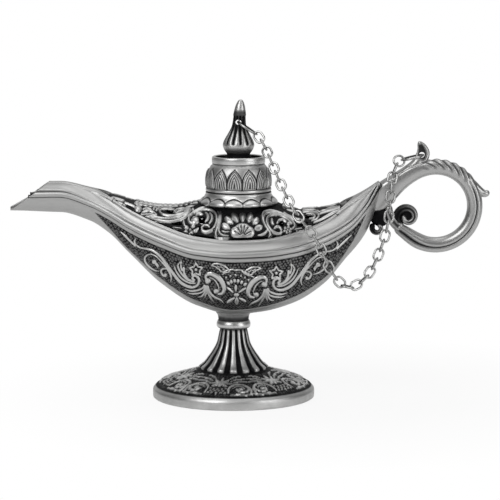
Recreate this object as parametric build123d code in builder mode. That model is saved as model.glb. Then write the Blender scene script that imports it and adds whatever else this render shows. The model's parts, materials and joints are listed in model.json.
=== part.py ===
from build123d import *

import math
import os

# Genie oil lamp: a boat-shaped bowl on a fluted foot, with an openwork deck, a domed lid, a
# scrolled handle and a chain from the lid's finial to the handle.
# The origin is the middle of the foot's underside. +X points to the handle, +Z up.

# Driving sizes of the body, in millimetres
spout_reach = 92.8
stern_reach = 60.4
body_width = 55.0
seam_height = 61.9
bowl_depth = 28.7
spout_rise = 23.1
stern_rise = 29.0
crown_height = 20.1
bowl_wall = 1.6
deck_wall = 1.5
bead_width = 0.8
bead_height = 2.3
bead_round_share = 0.25
seam_gap = 0.1
overrun = 2.0

# Hull stations, spout first. Each row holds shares: place along its reach, half width of half
# the body's width, rise of the seam, depth of the bowl's depth, then for the crown above the
# seam the band's inner edge across (of the half width) and up, and the crest, both of the
# crown's height.
spout_station_shares = (
    (1.040, 0.150, 0.900, 0.150, 0.250, 0.350, 0.385),
    (0.916, 0.204, 0.961, 0.206, 0.250, 0.290, 0.323),
    (0.776, 0.240, 0.978, 0.237, 0.250, 0.275, 0.308),
    (0.646, 0.309, 0.835, 0.240, 0.300, 0.320, 0.353),
    (0.560, 0.407, 0.680, 0.289, 0.600, 0.370, 0.428),
    (0.460, 0.545, 0.455, 0.430, 0.800, 0.375, 0.560),
    (0.323, 0.745, 0.229, 0.672, 0.840, 0.358, 0.697),
    (0.162, 0.927, 0.043, 0.868, 0.840, 0.340, 0.900),
    (0.075, 0.982, 0.012, 0.978, 0.840, 0.324, 0.980),
    (0.000, 1.000, 0.000, 1.000, 0.840, 0.318, 1.000),
)
stern_station_shares = (
    (0.100, 0.996, 0.003, 0.997, 0.840, 0.318, 0.990),
    (0.199, 0.982, 0.014, 0.951, 0.840, 0.318, 0.970),
    (0.414, 0.855, 0.059, 0.829, 0.840, 0.378, 0.786),
    (0.629, 0.618, 0.183, 0.683, 0.840, 0.428, 0.647),
    (0.795, 0.382, 0.355, 0.530, 0.700, 0.500, 0.557),
    (0.911, 0.247, 0.603, 0.418, 0.450, 0.350, 0.392),
    (0.997, 0.116, 0.900, 0.210, 0.300, 0.110, 0.140),
)
cavetto_sag_share = 0.16
cavetto_steps = 3
arch_steps = 8
bowl_inner_steps = 12

# Spout mouth: a slanted cut through the tip
mouth_rise = 16.4
mouth_slant = 36.9

# Deck: the openwork cover inside the band, and its windows
deck_clearance = 0.1
deck_spout_share = 0.56
deck_stern_share = 0.73
opening_spout_share = 0.60
opening_stern_share = 0.82
window_length = 8.0
window_width = 2.4
# Corners of one window, as shares of its length and width
window_corner_shares = ((0.50, 0.00), (0.26, 0.44), (-0.26, 0.44), (-0.50, 0.00), (-0.26, -0.44), (0.26, -0.44))
# Windows on one side: place along the reach and across the half width, turn in degrees, then the
# shares of the full window's length and width
window_spout_shares = (
    (0.122, 0.738, 8.0, 1.00, 0.75),
    (0.138, 0.590, 90.0, 0.55, 1.05),
    (0.273, 0.610, 17.0, 1.12, 0.80),
    (0.280, 0.356, 70.0, 0.52, 1.25),
    (0.445, 0.312, 25.0, 0.80, 1.00),
)
window_stern_shares = (
    (0.321, 0.632, 90.0, 0.45, 1.10),
    (0.472, 0.603, -25.0, 0.62, 0.75),
    (0.508, 0.422, 90.0, 0.42, 1.10),
    (0.634, 0.450, -32.0, 1.00, 0.83),
)

# Neck, lid and finial, all round one upright axis
lid_axis = 2.1
neck_bore_radius = 11.5
collar_radius = 13.6
collar_rise = 4.4
collar_flare_radius = 16.6
collar_flare_drop = 5.4
collar_skirt = 9.0
scallop_count = 13
scallop_depth = 1.0
scallop_share = 0.07
collar_waist_share = 1.03
collar_lip_share = 0.96
lid_gap = 0.2
lid_height = 14.5
lid_wall = 1.4
lid_ring_width = 1.3
petal_count = 13
# Petal band outline: height share of the lid's height, radius share of the collar's radius
petal_level_shares = ((0.100, 0.980), (0.420, 0.990), (0.620, 0.950), (0.800, 0.800))
petal_groove_share = 0.05
lid_ring_share = 0.79
dish_depth = 2.6
dish_rise = 1.3
plug_clearance = 0.3
plug_depth = 7.0
plug_wall = 1.2
plug_flange_height = 1.6
finial_height = 24.8
finial_radius = 6.5
finial_flute_count = 12
# Finial's round outline: height share and radius share; the bulb is fluted over it
finial_core_shares = (
    (0.000, 0.850),
    (0.080, 0.850),
    (0.115, 0.600),
    (0.130, 0.300),
    (0.500, 0.300),
    (0.530, 0.400),
    (0.730, 0.390),
    (0.745, 0.480),
    (0.775, 0.480),
    (0.790, 0.380),
    (0.870, 0.510),
    (0.950, 0.420),
    (1.000, 0.060),
)
finial_bulb_shares = ((0.110, 0.620), (0.165, 0.870), (0.240, 1.000), (0.340, 0.930), (0.440, 0.660), (0.560, 0.420))
finial_flute_share = 0.10
finial_hole_share = 0.615
finial_hole_radius = 1.25
lid_screw_radius = 1.6
lid_screw_bite = 6.0
lid_screw_head_radius = 3.0
lid_screw_head_height = 2.2
lid_washer_radius = 4.2
washer_thickness = 0.8
screw_play = 0.05
hole_play = 0.3

# Foot and stem
foot_radius = 33.8
foot_flange_height = 12.9
foot_gap = 0.2
foot_pocket_radius = 8.0
foot_pocket_height = 9.4
flute_count = 24
flute_depth = 0.8
# Flange outline, outside then inside: radius share of the foot's radius, height share of the
# flange's height
flange_outer_shares = (
    (0.930, 0.000),
    (0.988, 0.000),
    (1.000, 0.050),
    (1.000, 0.280),
    (0.959, 0.400),
    (0.855, 0.530),
    (0.645, 0.720),
    (0.420, 0.920),
    (0.385, 1.000),
)
flange_inner_shares = ((0.560, 0.500), (0.830, 0.260))
# Stem outline: height share above the flange, radius share of the foot's radius
stem_level_shares = (
    (0.000, 0.375),
    (0.200, 0.305),
    (0.390, 0.243),
    (0.540, 0.205),
    (0.710, 0.184),
    (1.000, 0.163),
)
screw_radius = 2.5
screw_head_radius = 4.6
screw_head_height = 3.2
screw_head_sides = 6
foot_washer_radius = 5.8
stem_collar_radius = 6.9
stem_collar_height = 4.0
stem_waist_share = 0.86
stem_bead_shares = (0.33, 0.67)
boss_radius = 5.6
boss_height = 5.6
screw_bite = 4.0
bite_spare = 0.6

# Handle: a round loop on an arm from the stern, with a leaf, a spur and two scrolls
loop_reach = 24.0
loop_rise = 17.9
loop_radius = 16.3
loop_bar = 6.4
loop_first_angle = 104.0
loop_last_angle = -128.0
loop_steps = 12
handle_thickness = 7.2
bar_sides = 8
# Bars of the handle. Each row holds shares of the loop's radius: place from the loop's centre
# along X and Z, then the bar's half height and half thickness
arm_shares = (
    (-1.530, 0.290, 0.390, 0.195),
    (-1.250, 0.400, 0.350, 0.225),
    (-0.920, 0.620, 0.290, 0.230),
    (-0.570, 0.870, 0.240, 0.222),
)
tail_shares = (
    (-0.860, -0.690, 0.160, 0.190),
    (-1.080, -0.480, 0.125, 0.150),
    (-1.300, -0.560, 0.105, 0.130),
    (-1.500, -0.600, 0.110, 0.130),
    (-1.680, -0.480, 0.110, 0.130),
    (-1.800, -0.280, 0.100, 0.130),
)
leaf_shares = (
    (-0.360, 0.950, 0.200, 0.150),
    (-0.340, 1.180, 0.225, 0.090),
    (-0.380, 1.400, 0.200, 0.080),
    (-0.440, 1.560, 0.115, 0.060),
    (-0.527, 1.669, 0.020, 0.030),
)
spur_shares = (
    (0.985, -0.020, 0.120, 0.150),
    (1.110, 0.130, 0.130, 0.120),
    (1.220, 0.280, 0.080, 0.080),
    (1.331, 0.411, 0.015, 0.020),
)
leaf_hole_x_share = -0.385
leaf_hole_z_share = 1.330
leaf_hole_radius = 1.25
ring_seat_share = 0.33
volute_x_share = -0.790
volute_z_share = -0.275
volute_outer_share = 0.300
volute_inner_share = 0.110
volute_bar_share = 0.105
volute_taper_share = 0.33
volute_first_angle = 232.0
volute_last_angle = -140.0
volute_steps = 12

# Chain: round wire bent into oval links, alternately face-on and edge-on
link_count = 34
link_wire = 0.9
link_inner_width = 2.8
link_gap = 0.23
wire_sides = 6
link_flat_share = 0.42
ring_steps = 12
end_ring_radius = 2.4
# The chain's route, from the finial's ring down past the near rim and up to the handle's ring.
# Each row holds shares: place from the lid's axis to the loop's centre, place across the half
# width, and height above the seam of the height of the finial's hole.
chain_route_shares = (
    (0.089, -0.011, 0.913),
    (0.114, -0.073, 0.862),
    (0.156, -0.276, 0.739),
    (0.194, -0.458, 0.604),
    (0.235, -0.636, 0.470),
    (0.281, -0.800, 0.348),
    (0.339, -0.909, 0.235),
    (0.396, -0.909, 0.107),
    (0.435, -0.873, -0.030),
    (0.481, -0.818, -0.156),
    (0.549, -0.745, -0.239),
    (0.604, -0.673, -0.213),
    (0.662, -0.564, -0.124),
    (0.708, -0.473, 0.021),
    (0.740, -0.400, 0.169),
    (0.757, -0.345, 0.325),
    (0.764, -0.291, 0.478),
    (0.775, -0.196, 0.593),
    (0.797, -0.116, 0.675),
)

# Corners on a rib, as shares of the way from flute to flute
broad_rib_shares = (0.18, 0.82)
sharp_rib_shares = (0.5,)

# Sizes worked out from the ones above
half_width = body_width / 2
keel_height = seam_height - bowl_depth
foot_height = keel_height - foot_gap - stem_collar_height
mouth_low = seam_height + mouth_rise
loop_centre_x = stern_reach + loop_reach
loop_centre_z = seam_height + loop_rise
collar_top = seam_height + crown_height + collar_rise
collar_flare_height = collar_top - collar_flare_drop
lid_base = collar_top + lid_gap
finial_base = lid_base + lid_height - dish_depth + dish_rise
finial_hole_height = finial_base + finial_hole_share * finial_height
lid_line = Axis((lid_axis, 0, 0), (0, 0, 1))


def stations():
    """Hull stations as sizes: x, half width, seam, depth, band edge y and z, crest."""
    rows = []
    for reach, rise, table in (
        (-spout_reach, spout_rise, spout_station_shares),
        (stern_reach, stern_rise, stern_station_shares),
    ):
        for along, wide, up, deep, edge, edge_up, crest_up in table:
            width = wide * half_width
            seam = seam_height + up * rise
            edge_z = seam + edge_up * crown_height
            crest = seam + crest_up * crown_height
            rows.append((along * reach, width, seam, deep * bowl_depth, edge * width, edge_z, crest))
    return rows


def outline(points):
    """A closed sketch through the points."""
    with BuildSketch(Plane.XY) as sketch:
        with BuildLine():
            Polyline(*points, close=True)
        make_face()
    return sketch.sketch


def bowl_outer_section(width, seam, depth):
    """Half an ellipse hung from the seam."""
    with BuildSketch(Plane.XY) as sketch:
        with BuildLine():
            EllipticalCenterArc((0, seam), width, depth, start_angle=180, arc_size=180)
            Line((-width, seam), (width, seam))
        make_face()
    return sketch.sketch


def bowl_inner_section(width, seam, depth, rise):
    """The space in the bowl: half an ellipse in straight steps, open past the seam."""
    points = [(width, seam + rise), (-width, seam + rise)]
    for step in range(bowl_inner_steps + 1):
        angle = math.pi * (1 + step / bowl_inner_steps)
        points.append((width * math.cos(angle), seam + depth * math.sin(angle)))
    return outline(points)


def crown_section(width, base, bead_top, bulge, edge_y, edge_z, crest):
    """Bead, hollow shoulder and arch above the seam, mirrored about the middle."""
    side = [(width, base)]
    if bulge > 0:
        side.append((width + bulge, base + (bead_top - base) * bead_round_share))
        side.append((width + bulge, bead_top - (bead_top - base) * bead_round_share))
    side.append((width, bead_top))
    middle_y = (width + edge_y) / 2 - cavetto_sag_share * (edge_z - bead_top)
    middle_z = (bead_top + edge_z) / 2 - cavetto_sag_share * (width - edge_y)
    for step in range(1, cavetto_steps + 1):
        t = step / cavetto_steps
        near, pull, far = (1 - t) ** 2, 2 * t * (1 - t), t ** 2
        side.append(
            (near * width + pull * middle_y + far * edge_y, near * bead_top + pull * middle_z + far * edge_z)
        )
    arch = []
    for step in range(1, arch_steps):
        angle = math.pi * step / arch_steps
        arch.append((edge_y * math.cos(angle), edge_z + (crest - edge_z) * math.sin(angle)))
    return outline(side + arch + [(-y, z) for y, z in reversed(side)])


def star_section(radius, depth, count, rib_shares):
    """A round section with pointed flutes: one corner in each flute, the rest on each rib."""
    points = []
    for i in range(count):
        for turn, reach in ((0, radius - depth), *((share, radius) for share in rib_shares)):
            angle = 2 * math.pi * (i + turn) / count
            points.append((reach * math.cos(angle), reach * math.sin(angle)))
    return outline(points)


def bar_section(radius, thickness):
    """An oval in straight steps: a radius in the handle's plane, a thickness across it."""
    points = []
    for i in range(bar_sides):
        angle = 2 * math.pi * (i + 1 / 2) / bar_sides
        points.append((thickness * math.cos(angle), radius * math.sin(angle)))
    return outline(points)


def bar_stations(points):
    """Planes square to a path in the XZ plane, each with its oval section."""
    last = len(points) - 1
    result = []
    for i, (x, z, radius, thickness) in enumerate(points):
        before = points[max(i - 1, 0)]
        after = points[min(i + 1, last)]
        along = (after[0] - before[0], 0, after[1] - before[1])
        plane = Plane(origin=(x, 0, z), x_dir=(0, 1, 0), z_dir=along)
        result.append((plane, bar_section(radius, thickness)))
    return result


def loop_points(rows):
    """Handle places and sizes from rows of shares of the loop's radius."""
    return [
        (
            loop_centre_x + x * loop_radius,
            loop_centre_z + z * loop_radius,
            high * loop_radius,
            thick * loop_radius,
        )
        for x, z, high, thick in rows
    ]


def oval_path(length, width):
    """Corners of an oval wire's centre line: flat ends and sides joined by slanted bends."""
    flat = width / 2 * link_flat_share
    straight = length / 2 - width / 2 + flat
    quarter = [(length / 2, flat), (straight, width / 2)]
    near = quarter + [(-x, y) for x, y in reversed(quarter)]
    return near + [(-x, -y) for x, y in near]


def ring_path(radius):
    """Corners of a round ring's centre line."""
    turn = 2 * math.pi / ring_steps
    return [(radius * math.cos(i * turn), radius * math.sin(i * turn)) for i in range(ring_steps)]


def wire_loop(points):
    """Wire bent round a closed path in the XY plane, with mitred steps."""
    with BuildPart() as loop:
        with BuildLine() as path:
            Polyline(*points, close=True)
        start = Vector(*points[0])
        along = Vector(*points[1]) - start
        middle = start + along / 2
        with BuildSketch(Plane(origin=middle, x_dir=(0, 0, 1), z_dir=along)):
            RegularPolygon(link_wire / 2, wire_sides)
        sweep(path=path.wires()[0], transition=Transition.RIGHT)
    return loop.part


def ring_through(hole, contact, seat):
    """A wire ring through a hole that runs across the lamp and through a far contact point."""
    along = (contact - hole).normalized()
    first = hole - along * seat
    radius = (contact - first).length / 2
    place = Plane(origin=first + along * radius, x_dir=along, z_dir=along.cross(Vector(0, 1, 0)))
    with BuildPart() as ring:
        with Locations(place.location):
            add(wire_loop(ring_path(radius)))
    return ring.part


def plan_outline(spout_share, stern_share, margin):
    """Leaf-shaped outline inside the band, drawn in by a margin."""
    rows = [row for row in stations() if -spout_share * spout_reach < row[0] < stern_share * stern_reach]
    near = [(row[0], row[4] - margin) for row in rows]
    first = (-spout_share * spout_reach + margin, 0)
    last = (stern_share * stern_reach - margin, 0)
    return outline([first] + near + [last] + [(x, -y) for x, y in reversed(near)])


def save(part, name):
    """Label one finished piece and write it as its own STEP file."""
    part.label = name
    export_step(part, f"parts/{name}.step")


os.makedirs("parts", exist_ok=True)
hull = stations()
mouth_angle = math.radians(mouth_slant)
mouth_plane = Plane(
    origin=(-spout_reach, 0, mouth_low),
    x_dir=(0, 1, 0),
    z_dir=(-math.sin(mouth_angle), 0, math.cos(mouth_angle)),
)

# Hull shapes that the bowl, the rim, the deck and the handle share
with BuildPart() as bowl_form:
    for x, width, seam, depth, _, _, _ in hull:
        section = bowl_outer_section(width, seam, depth)
        with BuildSketch(Plane.YZ.offset(x)):
            add(section)
    loft(ruled=True)
with BuildPart() as bowl_space:
    for x, width, seam, depth, _, _, _ in hull:
        section = bowl_inner_section(width - bowl_wall, seam, depth - bowl_wall, overrun)
        with BuildSketch(Plane.YZ.offset(x)):
            add(section)
    loft(ruled=True)
with BuildPart() as crown_form:
    for x, width, seam, _, edge_y, edge_z, crest in hull:
        section = crown_section(
            width, seam + seam_gap, seam + bead_height, bead_width, edge_y, edge_z, crest
        )
        with BuildSketch(Plane.YZ.offset(x)):
            add(section)
    loft(ruled=True)
with BuildPart() as crown_space:
    for x, width, seam, _, edge_y, edge_z, crest in hull:
        section = crown_section(
            width - bowl_wall,
            seam - overrun,
            seam + bead_height / 2,
            0,
            edge_y * (width - bowl_wall) / width,
            edge_z - deck_wall,
            crest - deck_wall,
        )
        with BuildSketch(Plane.YZ.offset(x)):
            add(section)
    loft(ruled=True)

# Bowl: the lower shell with its half of the spout, a short neck and a blind tapped boss
with BuildPart() as bowl:
    add(bowl_form.part)
    neck_base = foot_height + stem_collar_height
    with BuildSketch(Plane.XY.offset(neck_base)):
        Circle(boss_radius)
    extrude(amount=keel_height + bowl_wall - neck_base)
    add(bowl_space.part, mode=Mode.SUBTRACT)
    with BuildSketch(Plane.XY.offset(neck_base)):
        Circle(boss_radius)
    extrude(amount=boss_height)
    with BuildSketch(Plane.XY.offset(neck_base)):
        Circle(screw_radius + screw_play)
    extrude(amount=screw_bite + bite_spare, mode=Mode.SUBTRACT)
    split(bisect_by=mouth_plane, keep=Keep.BOTTOM)
save(bowl.part, "bowl")

# Rim: the beaded upper band with the top half of the spout, open where the deck sits
with BuildPart() as rim:
    add(crown_form.part)
    add(crown_space.part, mode=Mode.SUBTRACT)
    opening = plan_outline(opening_spout_share, opening_stern_share, 0)
    with BuildSketch(Plane.XY):
        add(opening)
    extrude(amount=seam_height + stern_rise + crown_height, mode=Mode.SUBTRACT)
    split(bisect_by=mouth_plane, keep=Keep.BOTTOM)
save(rim.part, "rim")

# Deck: the arched cover with its scroll windows, open under the neck
with BuildPart() as deck:
    cover = plan_outline(deck_spout_share, deck_stern_share, deck_clearance)
    with BuildSketch(Plane.XY):
        add(cover)
    extrude(amount=seam_height + stern_rise + crown_height)
    add(crown_form.part, mode=Mode.INTERSECT)
    add(crown_space.part, mode=Mode.SUBTRACT)
    with BuildSketch(Plane.XY.offset(seam_height)):
        with Locations((lid_axis, 0)):
            Circle(neck_bore_radius)
        for reach, table in ((-spout_reach, window_spout_shares), (stern_reach, window_stern_shares)):
            for along, across, turn, long, wide in table:
                for side in (1, -1):
                    corners = [(x * long * window_length, y * wide * window_width) for x, y in window_corner_shares]
                    with Locations(Location((along * reach, side * across * half_width, 0))):
                        Polygon(*corners, rotation=side * turn)
    extrude(amount=stern_rise + crown_height, mode=Mode.SUBTRACT)
save(deck.part, "deck")

# Neck collar: a flared ring with a scalloped foot, seated on the deck
with BuildPart() as neck_collar:
    skirt_base = collar_flare_height - collar_skirt
    skirt_radius = collar_flare_radius - scallop_depth
    with BuildSketch(Plane.XZ):
        with BuildLine():
            Polyline(
                (lid_axis, skirt_base),
                (lid_axis + skirt_radius, skirt_base),
                (lid_axis + skirt_radius, collar_flare_height),
                (lid_axis + collar_radius * collar_waist_share, collar_flare_height + scallop_depth * 2),
                (lid_axis + collar_radius, collar_top),
                (lid_axis, collar_top),
                close=True,
            )
        make_face()
    revolve(axis=lid_line)
    for height, radius in ((-scallop_depth, 1), (0, 1), (scallop_depth, collar_lip_share)):
        reach = radius * collar_flare_radius
        section = star_section(reach, scallop_share * reach, scallop_count, broad_rib_shares)
        with BuildSketch(Plane((lid_axis, 0, collar_flare_height + height))):
            add(section)
    loft(ruled=True)
    with BuildSketch(Plane((lid_axis, 0, collar_top))):
        Circle(neck_bore_radius)
    extrude(amount=skirt_base - collar_top, mode=Mode.SUBTRACT)
    add(crown_form.part, mode=Mode.SUBTRACT)
save(neck_collar.part, "neck_collar")

# Lid cap: a thin domed cap with a ring of petals, and a dish on top for the finial
lid_top = lid_base + lid_height
ring_radius = lid_ring_share * collar_radius
dish_radius = ring_radius - lid_ring_width
dish_base = lid_top - dish_depth
roof = dish_base - lid_wall
hollow_radius = collar_radius * (1 - petal_groove_share) - lid_wall
with BuildPart() as lid_cap:
    with BuildSketch(Plane((lid_axis, 0, lid_base))):
        Circle(collar_radius)
    extrude(amount=petal_level_shares[0][0] * lid_height)
    for height, radius in petal_level_shares:
        reach = radius * collar_radius
        section = star_section(reach, petal_groove_share * reach, petal_count, broad_rib_shares)
        with BuildSketch(Plane((lid_axis, 0, lid_base + height * lid_height))):
            add(section)
    loft(ruled=True)
    with BuildSketch(Plane((lid_axis, 0, lid_top))):
        Circle(ring_radius)
    extrude(amount=(petal_level_shares[-1][0] - 1) * lid_height)
    for outline_points in (
        (
            (0, lid_top + overrun),
            (dish_radius, lid_top + overrun),
            (dish_radius, dish_base),
            (finial_radius, finial_base),
            (0, finial_base),
        ),
        (
            (0, lid_base - overrun),
            (hollow_radius, lid_base - overrun),
            (hollow_radius, lid_base + lid_height / 2),
            (dish_radius - lid_wall, roof),
            (0, roof),
        ),
    ):
        with BuildSketch(Plane.XZ):
            with BuildLine():
                Polyline(*[(lid_axis + r, z) for r, z in outline_points], close=True)
            make_face()
        revolve(axis=lid_line, mode=Mode.SUBTRACT)
    with Locations((lid_axis, 0, roof)):
        Cylinder(lid_screw_radius + hole_play, 2 * lid_height, mode=Mode.SUBTRACT)
save(lid_cap.part, "lid_cap")

# Lid plug: the sleeve under the cap that centres it in the neck
with BuildPart() as lid_plug:
    plug_radius = neck_bore_radius - plug_clearance
    with BuildSketch(Plane((lid_axis, 0, lid_base))):
        Circle(plug_radius)
    extrude(amount=-plug_depth)
    with BuildSketch(Plane((lid_axis, 0, lid_base))):
        Circle(hollow_radius - screw_play)
    extrude(amount=plug_flange_height)
    with BuildSketch(Plane((lid_axis, 0, lid_base - plug_depth))):
        Circle(plug_radius - plug_wall)
    extrude(amount=plug_depth + plug_flange_height, mode=Mode.SUBTRACT)
save(lid_plug.part, "lid_plug")

# Finial: fluted bulb, waist with the ring's hole, and a bud on top
with BuildPart() as finial:
    with BuildSketch(Plane.XZ):
        with BuildLine():
            side = [(lid_axis + r * finial_radius, finial_base + h * finial_height) for h, r in finial_core_shares]
            Polyline(*side, (lid_axis, finial_base + finial_height), (lid_axis, finial_base), close=True)
        make_face()
    revolve(axis=lid_line)
    for height, radius in finial_bulb_shares:
        reach = radius * finial_radius
        section = star_section(reach, finial_flute_share * reach, finial_flute_count, sharp_rib_shares)
        with BuildSketch(Plane((lid_axis, 0, finial_base + height * finial_height))):
            add(section)
    loft(ruled=True)
    with BuildSketch(Plane((lid_axis, 0, finial_base))):
        Circle(lid_screw_radius + screw_play)
    extrude(amount=lid_screw_bite + bite_spare, mode=Mode.SUBTRACT)
    with BuildSketch(Plane.XZ.offset(-finial_radius)):
        with Locations((lid_axis, finial_hole_height)):
            Circle(finial_hole_radius)
    extrude(amount=2 * finial_radius, mode=Mode.SUBTRACT)
save(finial.part, "finial")

# Finial screw and washer, hidden under the lid's roof
with BuildPart() as lid_washer:
    with BuildSketch(Plane((lid_axis, 0, roof))):
        Circle(lid_washer_radius)
        Circle(lid_screw_radius + hole_play, mode=Mode.SUBTRACT)
    extrude(amount=-washer_thickness)
save(lid_washer.part, "lid_washer")
with BuildPart() as finial_screw:
    with BuildSketch(Plane((lid_axis, 0, roof - washer_thickness))):
        RegularPolygon(lid_screw_head_radius, screw_head_sides)
    extrude(amount=-lid_screw_head_height)
    with BuildSketch(Plane((lid_axis, 0, roof - washer_thickness))):
        Circle(lid_screw_radius)
    extrude(amount=finial_base + lid_screw_bite - roof + washer_thickness)
save(finial_screw.part, "finial_screw")

# Foot: a hollow flange under a fluted stem, bored for the screw
with BuildPart() as foot:
    with BuildSketch(Plane.XZ):
        with BuildLine():
            outer = [(r * foot_radius, h * foot_flange_height) for r, h in flange_outer_shares]
            inner = [(r * foot_radius, h * foot_flange_height) for r, h in flange_inner_shares]
            Polyline(
                *outer,
                (0, foot_flange_height),
                (0, foot_pocket_height),
                (foot_pocket_radius, foot_pocket_height),
                *inner,
                close=True,
            )
        make_face()
    revolve(axis=Axis.Z)
    for height, radius in stem_level_shares:
        section = star_section(radius * foot_radius, flute_depth, flute_count, sharp_rib_shares)
        with BuildSketch(Plane.XY.offset(foot_flange_height + height * (foot_height - foot_flange_height))):
            add(section)
    loft(ruled=True)
    with BuildSketch(Plane.XY):
        Circle(screw_radius + hole_play)
    extrude(amount=foot_height, mode=Mode.SUBTRACT)
save(foot.part, "foot")

# Stem collar: the bead between the stem and the bowl's neck
with BuildPart() as stem_collar:
    waist = stem_collar_radius * stem_waist_share
    bore = screw_radius + hole_play
    with BuildSketch(Plane.XZ):
        with BuildLine():
            Polyline(
                (bore, foot_height),
                (waist, foot_height),
                *[(stem_collar_radius, foot_height + stem_collar_height * share) for share in stem_bead_shares],
                (waist, foot_height + stem_collar_height),
                (bore, foot_height + stem_collar_height),
                close=True,
            )
        make_face()
    revolve(axis=Axis.Z)
save(stem_collar.part, "stem_collar")

# Foot screw and washer, in the pocket under the flange
with BuildPart() as foot_washer:
    with BuildSketch(Plane.XY.offset(foot_pocket_height)):
        Circle(foot_washer_radius)
        Circle(screw_radius + hole_play, mode=Mode.SUBTRACT)
    extrude(amount=-washer_thickness)
save(foot_washer.part, "foot_washer")
with BuildPart() as foot_screw:
    with BuildSketch(Plane.XY.offset(foot_pocket_height - washer_thickness)):
        RegularPolygon(screw_head_radius, screw_head_sides)
    extrude(amount=-screw_head_height)
    with BuildSketch(Plane.XY.offset(foot_pocket_height - washer_thickness)):
        Circle(screw_radius)
    extrude(amount=neck_base + screw_bite - foot_pocket_height + washer_thickness)
save(foot_screw.part, "foot_screw")

# Handle: arm and loop in one bar, then tail, volute, leaf and spur
loop_rows = []
for step in range(loop_steps + 1):
    angle = math.radians(loop_first_angle + (loop_last_angle - loop_first_angle) * step / loop_steps)
    loop_rows.append(
        (
            math.cos(angle),
            math.sin(angle),
            loop_bar / 2 / loop_radius,
            handle_thickness / 2 / loop_radius,
        )
    )
volute_rows = []
for step in range(volute_steps + 1):
    turn = step / volute_steps
    angle = math.radians(volute_first_angle + (volute_last_angle - volute_first_angle) * turn)
    reach = volute_outer_share + (volute_inner_share - volute_outer_share) * turn
    volute_rows.append(
        (
            volute_x_share + reach * math.cos(angle),
            volute_z_share + reach * math.sin(angle),
            volute_bar_share * (1 - turn * volute_taper_share),
            volute_bar_share,
        )
    )
with BuildPart() as handle:
    for rows in (arm_shares + tuple(loop_rows), tuple(loop_rows[-1:]) + tail_shares, volute_rows, leaf_shares, spur_shares):
        for plane, section in bar_stations(loop_points(rows)):
            with BuildSketch(plane):
                add(section)
        loft(ruled=True)
    hole_x = loop_centre_x + leaf_hole_x_share * loop_radius
    hole_z = loop_centre_z + leaf_hole_z_share * loop_radius
    with BuildSketch(Plane.XZ.offset(-handle_thickness)):
        with Locations((hole_x, hole_z)):
            Circle(leaf_hole_radius)
    extrude(amount=2 * handle_thickness, mode=Mode.SUBTRACT)
    add(bowl_form.part, mode=Mode.SUBTRACT)
    add(crown_form.part, mode=Mode.SUBTRACT)
save(handle.part, "handle")

# Chain links along the route, every second one turned edge-on
with BuildLine() as route_line:
    route = Spline(
        *[
            (
                lid_axis + x * (loop_centre_x - lid_axis),
                y * half_width,
                seam_height + z * (finial_hole_height - seam_height),
            )
            for x, y, z in chain_route_shares
        ]
    )
link_inner_length = route.length / link_count + link_gap
link_form = wire_loop(oval_path(link_inner_length + link_wire, link_inner_width + link_wire))
across = Vector(0, 1, 0)
for i in range(link_count):
    middle = route.position_at((i + 1 / 2) / link_count)
    along = route.position_at((i + 1) / link_count) - route.position_at(i / link_count)
    facing = across if i % 2 == 0 else along.cross(across)
    place = Plane(origin=middle, x_dir=along, z_dir=along.cross(facing.cross(along)))
    with BuildPart() as link:
        with Locations(place.location):
            add(link_form)
    save(link.part, f"chain_link_{i + 1:02d}")

# Rings at the chain's ends: one in the finial, one on the last link, one in the handle's leaf
wire_reach = (link_wire + link_gap) / 2
first_contact = route.position_at(0) + route.tangent_at(0) * wire_reach
hole_centre = Vector(lid_axis, 0, finial_hole_height)
save(ring_through(hole_centre, first_contact, finial_hole_radius * ring_seat_share), "finial_ring")
end_along = route.tangent_at(1)
end_centre = route.position_at(1) + end_along * (end_ring_radius - wire_reach)
with BuildPart() as end_ring:
    place = Plane(origin=end_centre, x_dir=end_along, z_dir=across - end_along * end_along.Y)
    with Locations(place.location):
        add(wire_loop(ring_path(end_ring_radius)))
save(end_ring.part, "chain_end_ring")
hole_centre = Vector(hole_x, 0, hole_z)
toward_hole = (hole_centre - end_centre).normalized()
last_contact = end_centre + toward_hole * (end_ring_radius - link_wire - link_gap)
save(ring_through(hole_centre, last_contact, leaf_hole_radius * ring_seat_share), "handle_ring")
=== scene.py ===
"""Finishes and carving of an antique-silver oil lamp, built over its fixed frame."""

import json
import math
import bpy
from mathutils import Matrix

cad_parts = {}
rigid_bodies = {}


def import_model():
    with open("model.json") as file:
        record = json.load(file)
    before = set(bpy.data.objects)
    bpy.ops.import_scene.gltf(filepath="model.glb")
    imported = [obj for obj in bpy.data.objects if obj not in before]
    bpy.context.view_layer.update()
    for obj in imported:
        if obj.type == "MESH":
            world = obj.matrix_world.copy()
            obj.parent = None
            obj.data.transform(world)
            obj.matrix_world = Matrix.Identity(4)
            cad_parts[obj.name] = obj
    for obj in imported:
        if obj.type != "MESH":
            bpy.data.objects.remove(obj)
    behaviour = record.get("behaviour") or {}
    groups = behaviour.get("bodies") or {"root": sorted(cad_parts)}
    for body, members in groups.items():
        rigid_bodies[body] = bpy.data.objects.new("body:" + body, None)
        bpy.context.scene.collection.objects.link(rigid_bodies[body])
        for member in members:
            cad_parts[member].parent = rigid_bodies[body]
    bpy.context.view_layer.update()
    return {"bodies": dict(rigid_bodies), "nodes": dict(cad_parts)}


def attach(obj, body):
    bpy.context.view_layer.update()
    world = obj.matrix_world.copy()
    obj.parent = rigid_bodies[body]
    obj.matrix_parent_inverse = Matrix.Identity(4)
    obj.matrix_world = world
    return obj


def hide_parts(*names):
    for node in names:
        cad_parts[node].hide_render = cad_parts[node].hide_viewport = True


bl_info = {
    "name": "Oil Lamp Finisher",
    "version": (1, 0, 0),
    "blender": (4, 5, 0),
    "location": "View3D > Sidebar > Oil Lamp",
    "description": "Builds the carved and polished pieces of a genie oil lamp over its frame",
    "category": "Object",
}

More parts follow.
